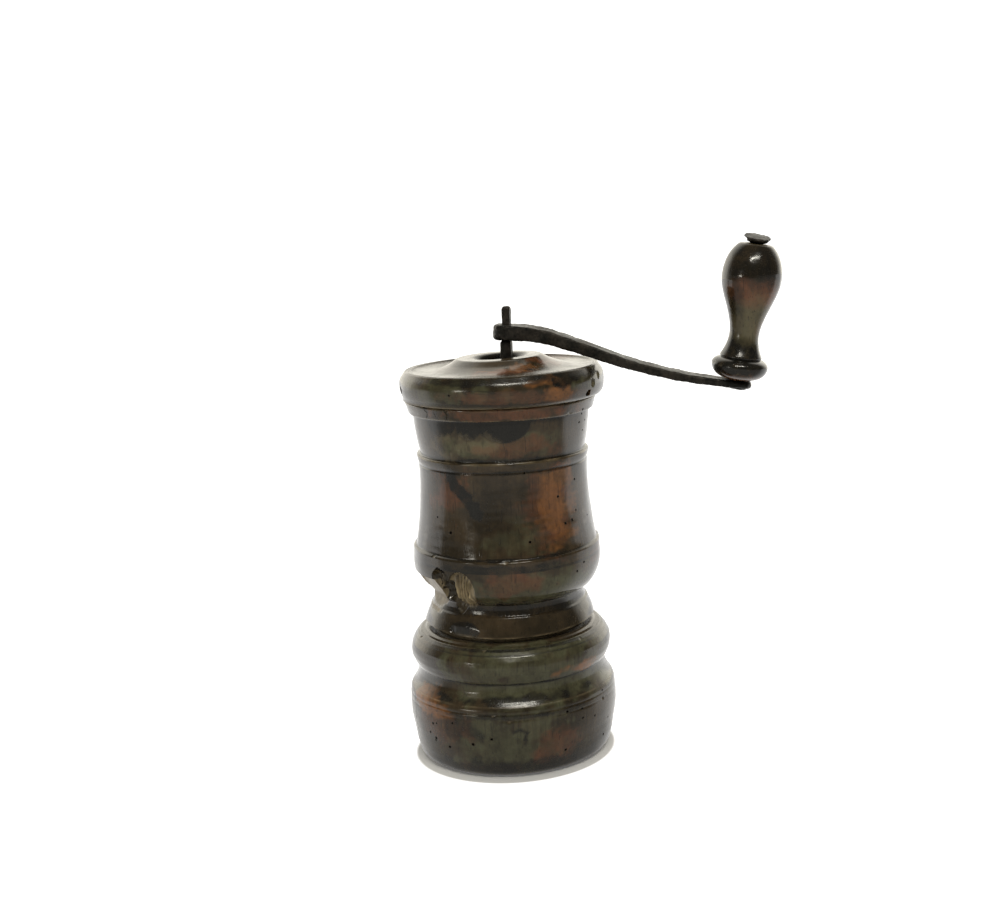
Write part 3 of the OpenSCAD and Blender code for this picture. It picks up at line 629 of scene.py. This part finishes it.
# Worm holes, set out with Geometry Nodes and cut out of the wood
def worm_hole_plugs(name):
    """Puts a tapered plug on each point, along the point's normal."""
    web, given = new_group(name, "GeometryNodeTree",
                           [("Geometry", "Geometry"), ("Hole radius", "Float"), ("Hole depth", "Float"),
                            ("Seed", "Int"), ("Material", "Material")], [("Geometry", "Geometry")])
    radius, depth = given["Hole radius"], given["Hole depth"]
    size = web.put("GeometryNodeInputNamedAttribute", {"Name": "hole_size"}, data_type="FLOAT").outputs[0]
    facing = web.put("GeometryNodeInputNamedAttribute", {"Name": "hole_facing"}, data_type="FLOAT_VECTOR").outputs[0]
    aim = web.put("FunctionNodeAlignRotationToVector", {"Vector": facing}, axis="Z").outputs[0]
    plug = web.put("GeometryNodeMeshCone", {"Vertices": 11, "Radius Top": radius,
                                            "Radius Bottom": web.times(radius, 0.7),
                                            "Depth": web.times(depth, 2.0)}).outputs["Mesh"]
    sunk = web.vector("MULTIPLY", web.put("ShaderNodeCombineXYZ", {"Z": depth}).outputs[0], (0, 0, -1.0))
    plug = web.put("GeometryNodeTransform", {"Geometry": plug, "Translation": sunk}).outputs[0]
    chance = web.put("FunctionNodeRandomValue", {"Seed": given["Seed"]}, data_type="FLOAT").outputs["Value"]
    squash = web.put("ShaderNodeMapRange", {0: chance, 3: 0.75, 4: 1.2}).outputs[0]
    scale = web.put("ShaderNodeCombineXYZ", {"X": web.times(size, squash), "Y": size, "Z": 1.0}).outputs[0]
    placed = web.put("GeometryNodeInstanceOnPoints", {"Points": given["Geometry"], "Instance": plug, "Rotation": aim,
                                                      "Scale": scale}).outputs[0]
    real = web.put("GeometryNodeRealizeInstances", {"Geometry": placed}).outputs[0]
    done = web.put("GeometryNodeSetMaterial", {"Geometry": real, "Material": given["Material"]}).outputs[0]
    web.put("NodeGroupOutput", {"Geometry": done})
    return web.tree


def evaluated_mesh(piece):
    """Plain mesh of a piece with its modifiers applied; the modifiers are taken off."""
    bpy.context.view_layer.update()
    graph = bpy.context.evaluated_depsgraph_get()
    mesh = bpy.data.meshes.new_from_object(piece.evaluated_get(graph), preserve_all_data_layers=True, depsgraph=graph)
    piece.modifiers.clear()
    return mesh


def cut_holes_and_cracks(piece, turning):
    """Cuts the worm holes and cracks out of a turned piece."""
    wood = bpy.context.scene.grinder_wood
    spots, normals = zip(*(turning.surface_at(a, z) for a, z, _ in turning.worms))
    flat = turning.to_world.to_3x3()
    marks = bpy.data.meshes.new(piece.name + "_worm_marks")
    marks.from_pydata([turning.to_world @ ((p + n * 0.4) * MM) for p, n in zip(spots, normals)], [], [])
    facing = marks.attributes.new("hole_facing", "FLOAT_VECTOR", "POINT")
    facing.data.foreach_set("vector", [c for n in normals for c in flat @ n])
    size = marks.attributes.new("hole_size", "FLOAT", "POINT")
    size.data.foreach_set("value", [s for _, _, s in turning.worms])
    plugs = add_object(marks.name, marks)
    tree = shared(bpy.data.node_groups, "worm_hole_plugs", worm_hole_plugs)
    modifier = plugs.modifiers.new("Worm holes", "NODES")
    modifier.node_group = tree
    sockets = {item.name: item.identifier for item in tree.interface.items_tree if item.in_out == "INPUT"}
    for name, value in (("Hole radius", wood.worm_radius), ("Hole depth", wood.worm_depth), ("Seed", wood.worm_seed),
                        ("Material", shared(bpy.data.materials, "worm_bore", worm_bore))):
        modifier[sockets[name]] = value
    plugs.data = evaluated_mesh(plugs)
    work = bmesh.new()
    work.from_mesh(plugs.data)
    for crack in turning.cracks:
        rungs = [[work.verts.new(turning.to_world @ (c * MM)) for c in rung] for rung in turning.blade(*crack)]
        faces = [work.faces.new(rungs[0]), work.faces.new(rungs[-1][::-1])]
        for low, high in zip(rungs[:-1], rungs[1:]):
            faces += [work.faces.new((low[k], high[k], high[k - 1], low[k - 1])) for k in range(3)]
        bmesh.ops.recalc_face_normals(work, faces=faces)
    work.to_mesh(plugs.data)
    work.free()
    cut = piece.modifiers.new("Worm holes", "BOOLEAN")
    cut.operation, cut.solver, cut.object, cut.material_mode = "DIFFERENCE", "MANIFOLD", plugs, "TRANSFER"
    old = piece.data
    piece.data = evaluated_mesh(piece)
    piece.data.name = piece.name
    bpy.data.meshes.remove(old)
    bpy.data.objects.remove(plugs)


def dress(piece, body, slot, *nodes):
    """Puts a finished piece on its body, in place of its nodes."""
    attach(piece, body)
    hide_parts(*nodes)


# Forged pieces
def forged_copy(node, name, material, rounds, dent, seed, shape):
    """A node's solid with its arrises rounded over, its faces hammered and its points moved by shape."""
    metal = bpy.context.scene.grinder_iron
    mesh = frame["nodes"][node].data.copy()
    mesh.name = name
    work = bmesh.new()
    work.from_mesh(mesh)
    bmesh.ops.remove_doubles(work, verts=work.verts, dist=1e-6)
    work.to_mesh(mesh)
    work.free()
    piece = add_object(name, mesh)
    fill = piece.modifiers.new("Even faces", "REMESH")
    fill.mode, fill.voxel_size, fill.use_smooth_shade = "VOXEL", metal.grain, True
    ease = piece.modifiers.new("Eased arrises", "SMOOTH")
    ease.factor, ease.iterations = 0.5, rounds
    piece.data = evaluated_mesh(piece)
    piece.data.name = name
    bpy.data.meshes.remove(mesh)
    mesh = piece.data
    co = np.empty(len(mesh.vertices) * 3, np.float32)
    no = np.empty_like(co)
    mesh.vertices.foreach_get("co", co)
    mesh.vertices.foreach_get("normal", no)
    p, n = co.reshape(-1, 3) / MM, no.reshape(-1, 3)
    push = metal.hammer / MM * dent * (0.8 * field(p, 7.0, seed) + 0.35 * field(p, 2.2, seed + 1) - 0.5)
    p = shape(p + n * push[:, None])
    mesh.vertices.foreach_set("co", (p * MM).astype(np.float32).ravel())
    mesh.materials.clear()
    mesh.materials.append(material)
    mesh.polygons.foreach_set("use_smooth", [True] * len(mesh.polygons))
    mesh.update()
    return piece


def spindle_bend(z):
    """How far hard use has bent the spindle towards the knob at a height."""
    start, end, bend, lean = 124, 154, 3.0, 0.04
    return bend * ramp(z, start, end) + lean * np.clip(z - end, 0, None)


def bent_spindle(p):
    """Bends the spindle's upper end."""
    return p + np.outer(spindle_bend(p[:, 2]), (1, 0, 0))


def at_bent_spindle(p):
    """Carries the crank's eye along with the bent spindle, and lifts it a little."""
    near = (1 - ramp(p[:, 0], 4, 36))[:, None]
    return p + near * np.column_stack([spindle_bend(p[:, 2]), 0 * p[:, 0], 0.8 - 0.05 * p[:, 0]])


def hammered_head(p):
    """Tilts the pin's beaten head a few degrees towards the camera's side."""
    pin = JOINTS["knob_turn"]
    foot, axis = np.array(pin["pos_m"]) / MM, np.array(pin["axis"])
    side, slope, head = np.array((0.26, -0.97, 0.0)), 0.2, 1.6
    up = (p - foot) @ axis
    level = up.max() - head
    lift = -slope * ((p - foot - np.outer(up, axis)) @ side) * ramp(up, level - 0.8, level + 0.3)
    return p + np.outer(lift, axis)


# Patches, mostly stains, with a few painted shades and painted dark reflections marked where they stand: mask, heading,
# height, half width and half height in millimetres, strength; on the lid's top also a radius, which the half height is
# then measured from
CUP_PATCHES = (
    ("orange", -130, 27, 10, 5, 0.85), ("orange", -118, 24.5, 5, 2.6, 0.8), ("red", -120, 19, 14, 8, 0.5),
    ("red", -52, 13, 11, 7, 0.7), ("orange", -28, 39.6, 12, 2.6, 0.9), ("black", -105, 20.5, 9, 5, 0.6),
    # The black band at 30.6 mm across the front is a painted dark reflection in the cove above the drum.
    ("black", -76, 30.6, 34, 2.0, 0.8), ("black", -76, 25.2, 30, 0.8, 0.7), ("black", 0, 36.7, ALL_ROUND, 0.5, 0.8),
    ("black", 0, 49.6, ALL_ROUND, 0.5, 0.75), ("olive", -72, 45, 34, 9, 0.8), ("olive", -60, 35, 34, 8, 0.85),
    ("olive", -80, 15, 26, 10, 0.75), ("black", -90, 3, 60, 4.5, 0.7), ("olive", 20, 36, 40, 12, 0.7),
    ("red", 60, 18, 18, 10, 0.6), ("orange", 120, 26, 14, 8, 0.5), ("olive", 150, 12, 40, 9, 0.7),
    ("red", 175, 40, 18, 6, 0.5), ("black", 100, 42, 22, 6, 0.5), ("black", 20, 20, 12, 7, 0.5))
HOPPER_PATCHES = (
    # The first two black rows darken the deep hollows of the gouge in the collar: painted shade.
    ("black", -119.5, 73, 4.0, 6, 0.9), ("black", -116, 68.5, 3.2, 5, 0.9), ("black", -112.4, 113.6, 2.6, 3.2, 0.9),
    ("red", -118, 109, 9, 9, 0.7), ("orange", -38, 104, 9, 14, 0.65), ("red", -46, 102, 11, 15, 0.7),
    ("olive", -66, 92, 12, 7, 0.5), ("black", -74, 104, 13, 15, 0.4), ("olive", -66, 71, 30, 6, 0.7),
    # The black band at 81.6 mm across the front is painted shade under the barrel's foot.
    ("black", -78, 81.6, 26, 1.6, 0.85), ("red", -74, 75, 14, 5, 0.6), ("olive", -40, 72, 16, 8, 0.9),
    ("red", -70, 138, 30, 3, 0.8), ("olive", -95, 125, 16, 4.5, 0.8), ("olive", -55, 127, 14, 5, 0.6),
    ("red", -62, 125, 18, 4, 0.6), ("olive", 30, 106, 20, 14, 0.6), ("red", 60, 120, 14, 12, 0.6),
    ("orange", 96, 104, 12, 12, 0.6), ("olive", 140, 90, 24, 14, 0.6), ("red", 178, 108, 14, 14, 0.6),
    ("black", 80, 72, 22, 7, 0.6), ("orange", 150, 134, 16, 5, 0.5), ("red", 10, 80, 16, 6, 0.5),
    ("bare", -100, 126, 14, 4.5, 0.16))
# Crisp dark patches: the three lobes under the top band across the front are a painted dark reflection of the band; the
# last darkens the chip in the skirt.
HOPPER_CRISP_PATCHES = (
    ("black", -74.2, 135.4, 9.3, 7.7, 1.8), ("black", -97, 135.4, 4.9, 6.5, 1.5), ("black", -118, 135.4, 7.0, 5.8, 1.2),
    ("black", -109, 55.6, 6.0, 3.0, 0.95))
LID_PATCHES = (
    ("red", -72, 151, 10, 3.8, 0.95, 24), ("orange", -50, 151, 7, 3.2, 0.75, 22), ("orange", -52, 149, 7, 1.6, 0.8),
    ("orange", -43, 145, 6, 3.4, 0.8), ("black", -38, 149.5, 9, 3.0, 0.9), ("red", -70, 144, 30, 3, 0.5),
    # The black band at 149.8 mm across the front of the rounded edge is a painted dark reflection.
    ("olive", -110, 146, 22, 5, 0.6), ("black", -70, 141.4, 60, 1.0, 0.6), ("black", -74, 149.8, 46, 1.3, 0.75),
    ("olive", 20, 147, 30, 5, 0.6), ("orange", 100, 146, 14, 4, 0.6), ("red", 160, 145, 22, 4, 0.6),
    ("black", 0, 151, ALL_ROUND, 0.55, 0.9, 33.2), ("red", 60, 151, 12, 8, 0.6, 28),
    ("black", 150, 151, 14, 7, 0.5, 24), ("red", -15, 151, 11, 4.6, 0.95, 20))


# Operators, one for each piece or group of like pieces
class GRINDER_OT_receiver_cup(bpy.types.Operator):
    """Turns the receiver cup"""
    bl_idname = "grinder.receiver_cup"
    bl_label = "Receiver cup"

    def execute(self, context):
        wood = context.scene.grinder_wood
        cup = Turning("receiver_cup", ((-160, 10, 220), (10, 200, 100)),
                      lambda r, z: (2.2 if r < 29.5 or z < 0.5 else 0.26 if 23.6 < z < 30.2 else
                                    0.32 if 35.4 < z < 39.2 or z > 46.5 else 0.55),
                      lambda r, z: r > 29.5 and z > 0.6)
        cup.turn_to((26.6, 40.3), (27.6, 40.1), (28.5, 39.7), (29.4, 39.05), (30.3, 38.35), (31.5, 37.7), (33.5, 36.9),
                    (35.4, 36.6), (36.5, 36.6), (36.8, 37.1), (38.5, 38.0), (41, 38.9), (43.4, 39.1), (45.6, 38.7),
                    (47.6, 37.6), (49.3, 36.2), (49.6, 35.6), (50.8, 34.6), (52, 33.2))
        foot_flare, foot_top, rim_drop = 1.2, 14, 1.5
        cup.r += foot_flare * ramp(foot_top - cup.z0, 0, foot_top) * cup.seen
        cup.z -= rim_drop * ramp(cup.z0, 49.8, 52.2)
        cup.sway(wood.sway / MM, 11)
        upper_line, lower_line, line_width = 26.2, 23.9, 0.3
        faded = cup.seen * np.clip(0.7 + 0.5 * field(cup.points(), 24, 13), 0, 1)
        cup.r -= faded * (0.3 * np.exp(-((cup.z0 - upper_line) / line_width) ** 2)
                          + 0.25 * np.exp(-((cup.z0 - lower_line) / line_width) ** 2))
        cup.nicks((28.8, upper_line, lower_line, 49.4), 26, 12, size=(0.3, 0.8))
        cup.crack(((-146, 27), (-144, 21), (-147, 14), (-145, 8)), 0.35, 1.2, seed=1)
        cup.crack(((38, 26), (39, 18), (36, 8)), 0.4, 1.4, seed=2)
        cup.crack(((150, 25), (148, 14)), 0.35, 1.2, seed=3)
        cup.patches(CUP_PATCHES, 0)
        cup.crack(((-77, 19.5), (-73, 20.2), (-69.5, 18.8), (-70.5, 16.2)), 0, 0, raise_mask=0.9, spread=1.1, seed=4)
        cup.weather()
        cup.worms_at((-46.3, 24.4), (-36.3, 23.8), (-27.1, 19.0), (-36.6, 20.2), (-15.3, 8.6), (-17.5, 27.2),
                     (-125.1, 19.7), (-129, 15.2), (-125.6, 12.8), (-114.3, 11.4))
        cup.stray_worms(14, 9, 27, wood.worm_seed)
        piece = cup.build("turned_receiver_cup", wood_material("cup_varnish", 0.04))
        dress(piece, "cup", "cup_wood", "receiver_cup")
        return {"FINISHED"}


class GRINDER_OT_hopper_body(bpy.types.Operator):
    """Turns the hopper body, with its breaks, cracks and worm holes"""
    bl_idname = "grinder.hopper_body"
    bl_label = "Hopper body"

    def execute(self, context):
        wood = context.scene.grinder_wood
        skirt_foot = 53.2
        body = Turning("hopper_body", ((-172, -142, 36), (-142, -96, 114), (-96, 10, 100), (10, 188, 66)),
                       lambda r, z: (2.4 if r < 28.5 or z < 53 else
                                     0.32 if z < 54.5 or 59.8 < z < 61.4 or 83 < z < 85.4 or 115 < z < 120.8
                                     or z > 134.8 else 0.62),
                       lambda r, z: r > 28.3 and z > skirt_foot)
        body.turn_to((53.6, 33.0), (57, 31.9), (60.5, 30.4), (60.9, 29.6), (63, 29.0), (65.2, 29.0))
        body.turn_to((78.4, 36.3), (83.8, 36.1), (84.2, 35.8), (84.6, 34.95))
        body.sway(wood.sway / MM, 21)
        body.nicks((84, 119.4, 135.8, 139.4), 22, 22, size=(0.35, 0.9))
        front = np.clip(np.cos(np.radians(body.az - PHOTO_SIDE)), 0, 1) ** 2
        body.z += (0.5 - front) * ramp(body.r0, 29.3, 31) * ramp(59.8 - body.z0, 0, 5) * (body.z0 > skirt_foot)
        body.z -= 0.9 * front * ramp(body.z0, 74, 83) * ramp(95 - body.z0, 0, 9) * body.seen
        self.breaks(body)
        self.cracks(body)
        body.patches(HOPPER_PATCHES, 40)
        body.patches(HOPPER_CRISP_PATCHES, 70, crisp=0.93, below=135.3)
        for z, high, strength in ((62.6, 2.6, 0.75), (84.7, 0.5, 0.8), (115.9, 0.7, 0.7), (120.3, 1.0, 0.9)):
            body.patch("black", 0, z, ALL_ROUND, high, strength, seed=int(z))
        body.weather()
        body.worms_at((-35, 94.8), (-15, 131.4), (-12, 134), (-9, 128), (-17, 136.5), (-6, 131), (-22, 110),
                      (-30, 76), (-24, 79))
        body.worms_at((-122.6, 78.6), size=1.7)
        body.stray_worms(12, 88, 116, wood.worm_seed + 1)
        piece = body.build("turned_hopper_body", wood_material("hopper_varnish", -0.02, shift=(0.03, 0.01, 0.0)))
        dress(piece, "hopper", "hopper_wood", "hopper_body")
        return {"FINISHED"}

    def breaks(self, body):
        """The gouge in the collar, with torn fibres beside it, and the chip in the skirt."""
        body.facet(-146, -31, -9.87, 22, 64.5, 74.6, rough=0.03, seed=23, keep=0.62)
        body.scoop(-106, 71.5, 5.6, 8.0, 1.8, rough=0.2, seed=27, keep=0.9)
        body.fibres(-105.5, 71.5, 5.6, 8.4, 1.5, 0.7, seed=28)
        body.scoop(-121, 74.5, 4.6, 5.2, 4.6, rough=0.45, seed=24, keep=0.1)
        body.scoop(-117, 70, 4.2, 6.5, 5.2, rough=0.45, seed=29, keep=0.1)
        body.scoop(-114, 65.5, 3.0, 4.5, 3.0, rough=0.3, seed=30, keep=0.2)
        body.crack(((-128.6, 76.5), (-125, 73), (-122, 70), (-121, 66)), 0.5, 1.0, raise_mask=0.9, spread=1.2, seed=8)
        body.scoop(-109, 55.6, 6.4, 3.2, 0.45, rough=0.05, seed=26, keep=0.0)

    def cracks(self, body):
        """Three short cracks in the top band, a smear on the barrel and three cracks at the back."""
        body.crack(((-126, 140), (-124.5, 138.2), (-126.3, 136)), 0.7, 1.4, seed=1)
        body.crack(((-110, 140), (-108.4, 138.2), (-110, 136)), 0.7, 1.5, seed=2)
        body.crack(((-118, 139.8), (-117, 136.6)), 0.4, 0.9, seed=3)
        body.crack(((-112.4, 114.7), (-109.9, 110.6), (-102.5, 107.9), (-97.3, 104.3), (-94, 100.6)), 0, 0,
                   raise_mask=1.3, spread=3.0, seed=4, full=0.5)
        body.crack(((24, 114), (22, 106), (25, 96), (23, 87.5)), 0.5, 1.6, seed=5)
        body.crack(((118, 110), (116, 100), (119, 92), (117, 87.5)), 0.55, 1.6, seed=6)
        body.crack(((170, 134), (171, 129), (169, 124)), 0.5, 1.4, seed=7)


class GRINDER_OT_lid(bpy.types.Operator):
    """Turns the lid"""
    bl_idname = "grinder.lid"
    bl_label = "Lid"

    def execute(self, context):
        wood = context.scene.grinder_wood
        lid = Turning("lid", ((-160, 10, 230), (10, 200, 110)),
                      lambda r, z: 1.2 if z < 140.2 or r < 10 else 0.28 if z > 149.5 and r > 30 else 0.5,
                      lambda r, z: z > 140.7 and r > 9.8)
        wider_dish, off_centre, rise, boss_rise = 2.0, 1.1, 0.55, 0.55
        to_right = np.cos(np.radians(lid.az - PHOTO_RIGHT))
        lid.r += wider_dish * ramp(lid.r0, 25, 32) * ramp(38.2 - lid.r0, 0, 4.5) * (lid.z0 > 148.5)
        lid.r += off_centre * to_right * ramp(lid.r0, 14, 30) * lid.seen
        lid.sway(wood.sway / MM, 31)
        lid.z += rise * (1 + to_right) * ramp(lid.z0, 143, 149) * lid.seen
        lid.z += boss_rise * ramp(15.8 - lid.r0, 0, 6) * (lid.z0 > 152)
        for n, (heading, z) in enumerate(((-16, 146), (-20, 143), (-8, 148), (-152, 145), (-140, 149))):
            lid.scoop(heading, z, 1.3, 1.1, 0.45, rough=0.1, seed=33 + n, keep=0.3)
        lid.crack(((96, 149.5), (97, 146), (95, 142.5)), 0.5, 1.4, seed=1)
        lid.patches(LID_PATCHES, 80)
        lid.weather()
        # The hole's wall is painted black: painted shade in the hole.
        hole = lid.r0 < 10.6
        lid.masks["black"][hole], lid.masks["bare"][hole] = 0.95, 0
        lid.worms_at((-104, 145.6), (-97, 144.6), (-18, 147), (-14, 145.4), (30, 146), (128, 147), (150, 145), size=0.7)
        piece = lid.build("turned_lid", wood_material("lid_varnish", 0.02, tilt=(0.0, math.pi / 2, 0.4)))
        dress(piece, "lid", "lid_wood", "lid")
        return {"FINISHED"}


class GRINDER_OT_crank_knob(bpy.types.Operator):
    """Turns the crank's knob about its leaning pin"""
    bl_idname = "grinder.crank_knob"
    bl_label = "Crank knob"

    def execute(self, context):
        wood = context.scene.grinder_wood
        pin = JOINTS["knob_turn"]
        lean = Vector(pin["axis"]).to_track_quat("Z", "Y").to_matrix().to_4x4()
        knob = Turning("crank_knob", ((0, 360, 150),), lambda r, z: 0.4 if r > 4 else 1.6, lambda r, z: r > 4.2,
                       Matrix.Translation(Vector(pin["pos_m"])) @ lean)
        top = knob.line[:, 1].max()
        knob.sway(wood.sway / MM * 0.7, 41)
        knob.nicks((top - 1.5, 3.0, 6.0), 10, 42, size=(0.5, 1.3))
        # The heading that faces the camera, round the knob's own axis
        front = -166
        knob.patches((
            ("black", front, top - 5, 60, 10.5, 0.75), ("black", front, 8.8, 60, 7.6, 1.1),
            # The faint pale patch just right of the front is a painted sheen that lightens the knob's front.
            ("olive", front + 12, top * 0.42, 10, 12, 0.6), ("bare", front + 14, top * 0.46, 9, 11, 0.16),
            ("black", front - 40, top * 0.5, 3.0, 16, 0.6), ("red", front + 8, top * 0.66, 14, 6, 0.9),
            ("red", front + 8, 1.8, 12, 2.6, 0.7), ("red", front + 150, top * 0.5, 12, 13, 0.7),
            ("olive", front + 85, top * 0.45, 8, 10, 0.5)), 120, ragged=0.3)
        knob.weather(wear=0.25)
        piece = knob.build("turned_crank_knob", wood_material("knob_varnish", -0.04, shift=(0.0, 0.02, 0.01)))
        dress(piece, "knob", "knob_wood", "crank_knob")
        return {"FINISHED"}


class GRINDER_OT_forged_crank(bpy.types.Operator):
    """Forges the crank arm and the pin that carries its knob"""
    bl_idname = "grinder.forged_crank"
    bl_label = "Forged crank"

    def execute(self, context):
        skin = iron_material("crank_iron", 0.6, 0.42)
        arm = forged_copy("crank_arm", "forged_crank_arm", skin, rounds=8, dent=0.8, seed=61, shape=at_bent_spindle)
        dress(arm, "crank", "forged_iron", "crank_arm")
        pin = forged_copy("knob_pin", "forged_knob_pin", skin, rounds=2, dent=0.8, seed=63, shape=hammered_head)
        dress(pin, "crank", "forged_iron", "knob_pin")
        return {"FINISHED"}


class GRINDER_OT_forged_spindle(bpy.types.Operator):
    """Forges the square spindle"""
    bl_idname = "grinder.forged_spindle"
    bl_label = "Forged spindle"

    def execute(self, context):
        skin = iron_material("spindle_iron", 0.6, 0.55, (0.04, 0.0, 0.0))
        spindle = forged_copy("spindle", "forged_spindle", skin, rounds=1, dent=0.6, seed=65, shape=bent_spindle)
        dress(spindle, "spindle", "forged_iron", "spindle")
        return {"FINISHED"}


class GRINDER_OT_inner_iron(bpy.types.Operator):
    """Finishes the burrs, bridges and screws inside"""
    bl_idname = "grinder.inner_iron"
    bl_label = "Burrs, bridges and screws"

    def execute(self, context):
        for name, rust, rubbed, shift, nodes in (
                ("bridge_iron", 0.8, 0.35, (0.0, 0.05, 0.0), ("upper_bridge", "lower_bridge", "lock_nut")),
                ("burr_iron", 0.35, 0.8, (0.02, 0.02, 0.0), ("burr_cone", "burr_ring")),
                ("screw_iron", 0.6, 0.6, (0.0, 0.0, 0.03), ("upper_bridge_screws", "burr_cone_pin", "burr_ring_screws",
                                                            "lower_bridge_screws", "adjusting_screw"))):
            material = iron_material(name, rust, rubbed, shift)
            for node in nodes:
                mesh = frame["nodes"][node].data
                mesh.materials.clear()
                mesh.materials.append(material)
        return {"FINISHED"}


class GRINDER_OT_stage(bpy.types.Operator):
    """Sets up the pale floor, the soft light and the camera"""
    bl_idname = "grinder.stage"
    bl_label = "Stage"

    def execute(self, context):
        scene, stage = context.scene, context.scene.grinder_stage
        scene.view_settings.view_transform = "Standard"
        self.floor()
        self.world(scene, stage)
        self.lamps(stage)
        camera = bpy.data.cameras.new("photo_camera")
        camera.sensor_fit, camera.sensor_width = "HORIZONTAL", 36.0
        camera.lens, camera.shift_x, camera.clip_end = stage.lens, stage.shift, 20
        scene.camera = add_object("photo_camera", camera)
        scene.camera.location, scene.camera.rotation_euler = stage.place, stage.turn
        return {"FINISHED"}

    def floor(self):
        """White paper that keeps a soft shadow; for the camera a narrow ring round the grinder's foot glows much less,
        a painted shadow.
        """
        corners, radius, drop = 64, 3, 0.0002
        mesh = bpy.data.meshes.new("paper_floor")
        rim = [(radius * math.cos(a), radius * math.sin(a), -drop)
               for a in np.linspace(0, 2 * math.pi, corners, endpoint=False)]
        mesh.from_pydata(rim, [], [list(range(corners))])
        add_object("paper_floor", mesh)
        material, web, place = blank_material("white_paper")
        ray = web.put("ShaderNodeLightPath").outputs
        matt = web.put("ShaderNodeBsdfDiffuse", {"Color": web.grey(web.more(0.62, ray["Is Glossy Ray"], -0.3))})
        near = web.vector("DISTANCE", place, (0.0005, -0.0022, -drop), "Value")
        turn = math.radians(PHOTO_RIGHT)
        behind = web.vector("DOT_PRODUCT", place, (-math.sin(turn), math.cos(turn), 0), "Value")
        # Seen by the camera the paper glows white, but much less in a narrow ring round the grinder's foot: a painted
        # shadow.
        camera_white_with_painted_ring = web.times(ray["Is Camera Ray"], web.span(near, 0.0385, 0.0402, 0.1, 1.0))
        mirrored = web.times(ray["Is Glossy Ray"], web.span(behind, -0.06, 0.04, 0.15, 1.15))
        glow = web.put("ShaderNodeEmission", {"Color": (1, 1, 1, 1), "Strength": web.math("ADD", camera_white_with_painted_ring, mirrored)})
        web.surface("ShaderNodeAddShader", {0: matt.outputs[0], 1: glow.outputs[0]})
        mesh.materials.append(material)

    def world(self, scene, stage):
        """White round the back and sides, a dimmer room in front."""
        scene.world = bpy.data.worlds.new("white_room")
        scene.world.use_nodes = True
        scene.world.node_tree.nodes.clear()
        web = Web(scene.world.node_tree)
        way = web.put("ShaderNodeTexCoord").outputs["Generated"]
        toward = Vector(stage.place).normalized()
        facing = web.vector("DOT_PRODUCT", way, (toward.x, toward.y, 0.1), "Value")
        level = web.span(facing, -0.55, -0.1, stage.backdrop, stage.room)
        seen = web.put("ShaderNodeLightPath").outputs["Is Camera Ray"]
        sky = web.put("ShaderNodeBackground", {"Color": web.blend(seen, rgba(stage.tint), (1, 1, 1, 1)),
                                               "Strength": web.math("MAXIMUM", level, seen)})
        web.put("ShaderNodeOutputWorld", {"Surface": sky.outputs[0]})

    def lamps(self, stage):
        """A window at the left of the camera, a strip and a broad light above, and a tall light at each side."""
        for name, heading, rise, away, size, energy in (
                ("window", -125, 7, 1.0, (0.18, 0.09), stage.window),
                ("strip", -66, 48, 1.0, (0.5, 0.06), stage.strip),
                ("ceiling", -78, 80, 1.0, (1.2, 1.2), stage.fill),
                ("left_side", 148, 8, 0.9, (0.5, 0.9), 0.85 * stage.sides),
                ("right_side", 62, 8, 0.9, (0.5, 0.9), stage.sides)):
            lamp = bpy.data.lights.new(name, "AREA")
            lamp.shape, lamp.size, lamp.size_y, lamp.energy, lamp.color = "RECTANGLE", *size, energy, stage.tint
            a, e = math.radians(heading), math.radians(rise)
            spot = Vector((math.cos(a) * math.cos(e), math.sin(a) * math.cos(e), math.sin(e))) * away
            holder = add_object(name, lamp)
            holder.location = spot + Vector((0, 0, 0.1))
            holder.rotation_euler = spot.to_track_quat("Z", "Y").to_euler()
            holder.visible_glossy = name != "ceiling"


class GRINDER_PT_panel(bpy.types.Panel):
    """Lists the pieces of the grinder"""
    bl_label = "Coffee grinder"
    bl_idname = "GRINDER_PT_panel"
    bl_space_type = "VIEW_3D"
    bl_region_type = "UI"
    bl_category = "Grinder"

    def draw(self, context):
        for operator in OPERATORS:
            self.layout.operator(operator.bl_idname)
        for group in SETTINGS:
            settings = getattr(context.scene, group)
            for name in settings.__annotations__:
                self.layout.prop(settings, name)


SETTINGS = {"grinder_wood": WoodSettings, "grinder_iron": IronSettings, "grinder_stage": StageSettings}
OPERATORS = (GRINDER_OT_stage, GRINDER_OT_receiver_cup, GRINDER_OT_hopper_body, GRINDER_OT_lid, GRINDER_OT_crank_knob,
             GRINDER_OT_forged_crank, GRINDER_OT_forged_spindle, GRINDER_OT_inner_iron)
CLASSES = (*SETTINGS.values(), *OPERATORS, GRINDER_PT_panel)


def register():
    for cls in CLASSES:
        bpy.utils.register_class(cls)
    for name, cls in SETTINGS.items():
        setattr(bpy.types.Scene, name, PointerProperty(type=cls))


def unregister():
    for name in SETTINGS:
        delattr(bpy.types.Scene, name)
    for cls in reversed(CLASSES):
        bpy.utils.unregister_class(cls)


def main():
    register()
    for operator in OPERATORS:
        group, name = operator.bl_idname.split(".")
        getattr(getattr(bpy.ops, group), name)()


if __name__ == "__main__":
    main()
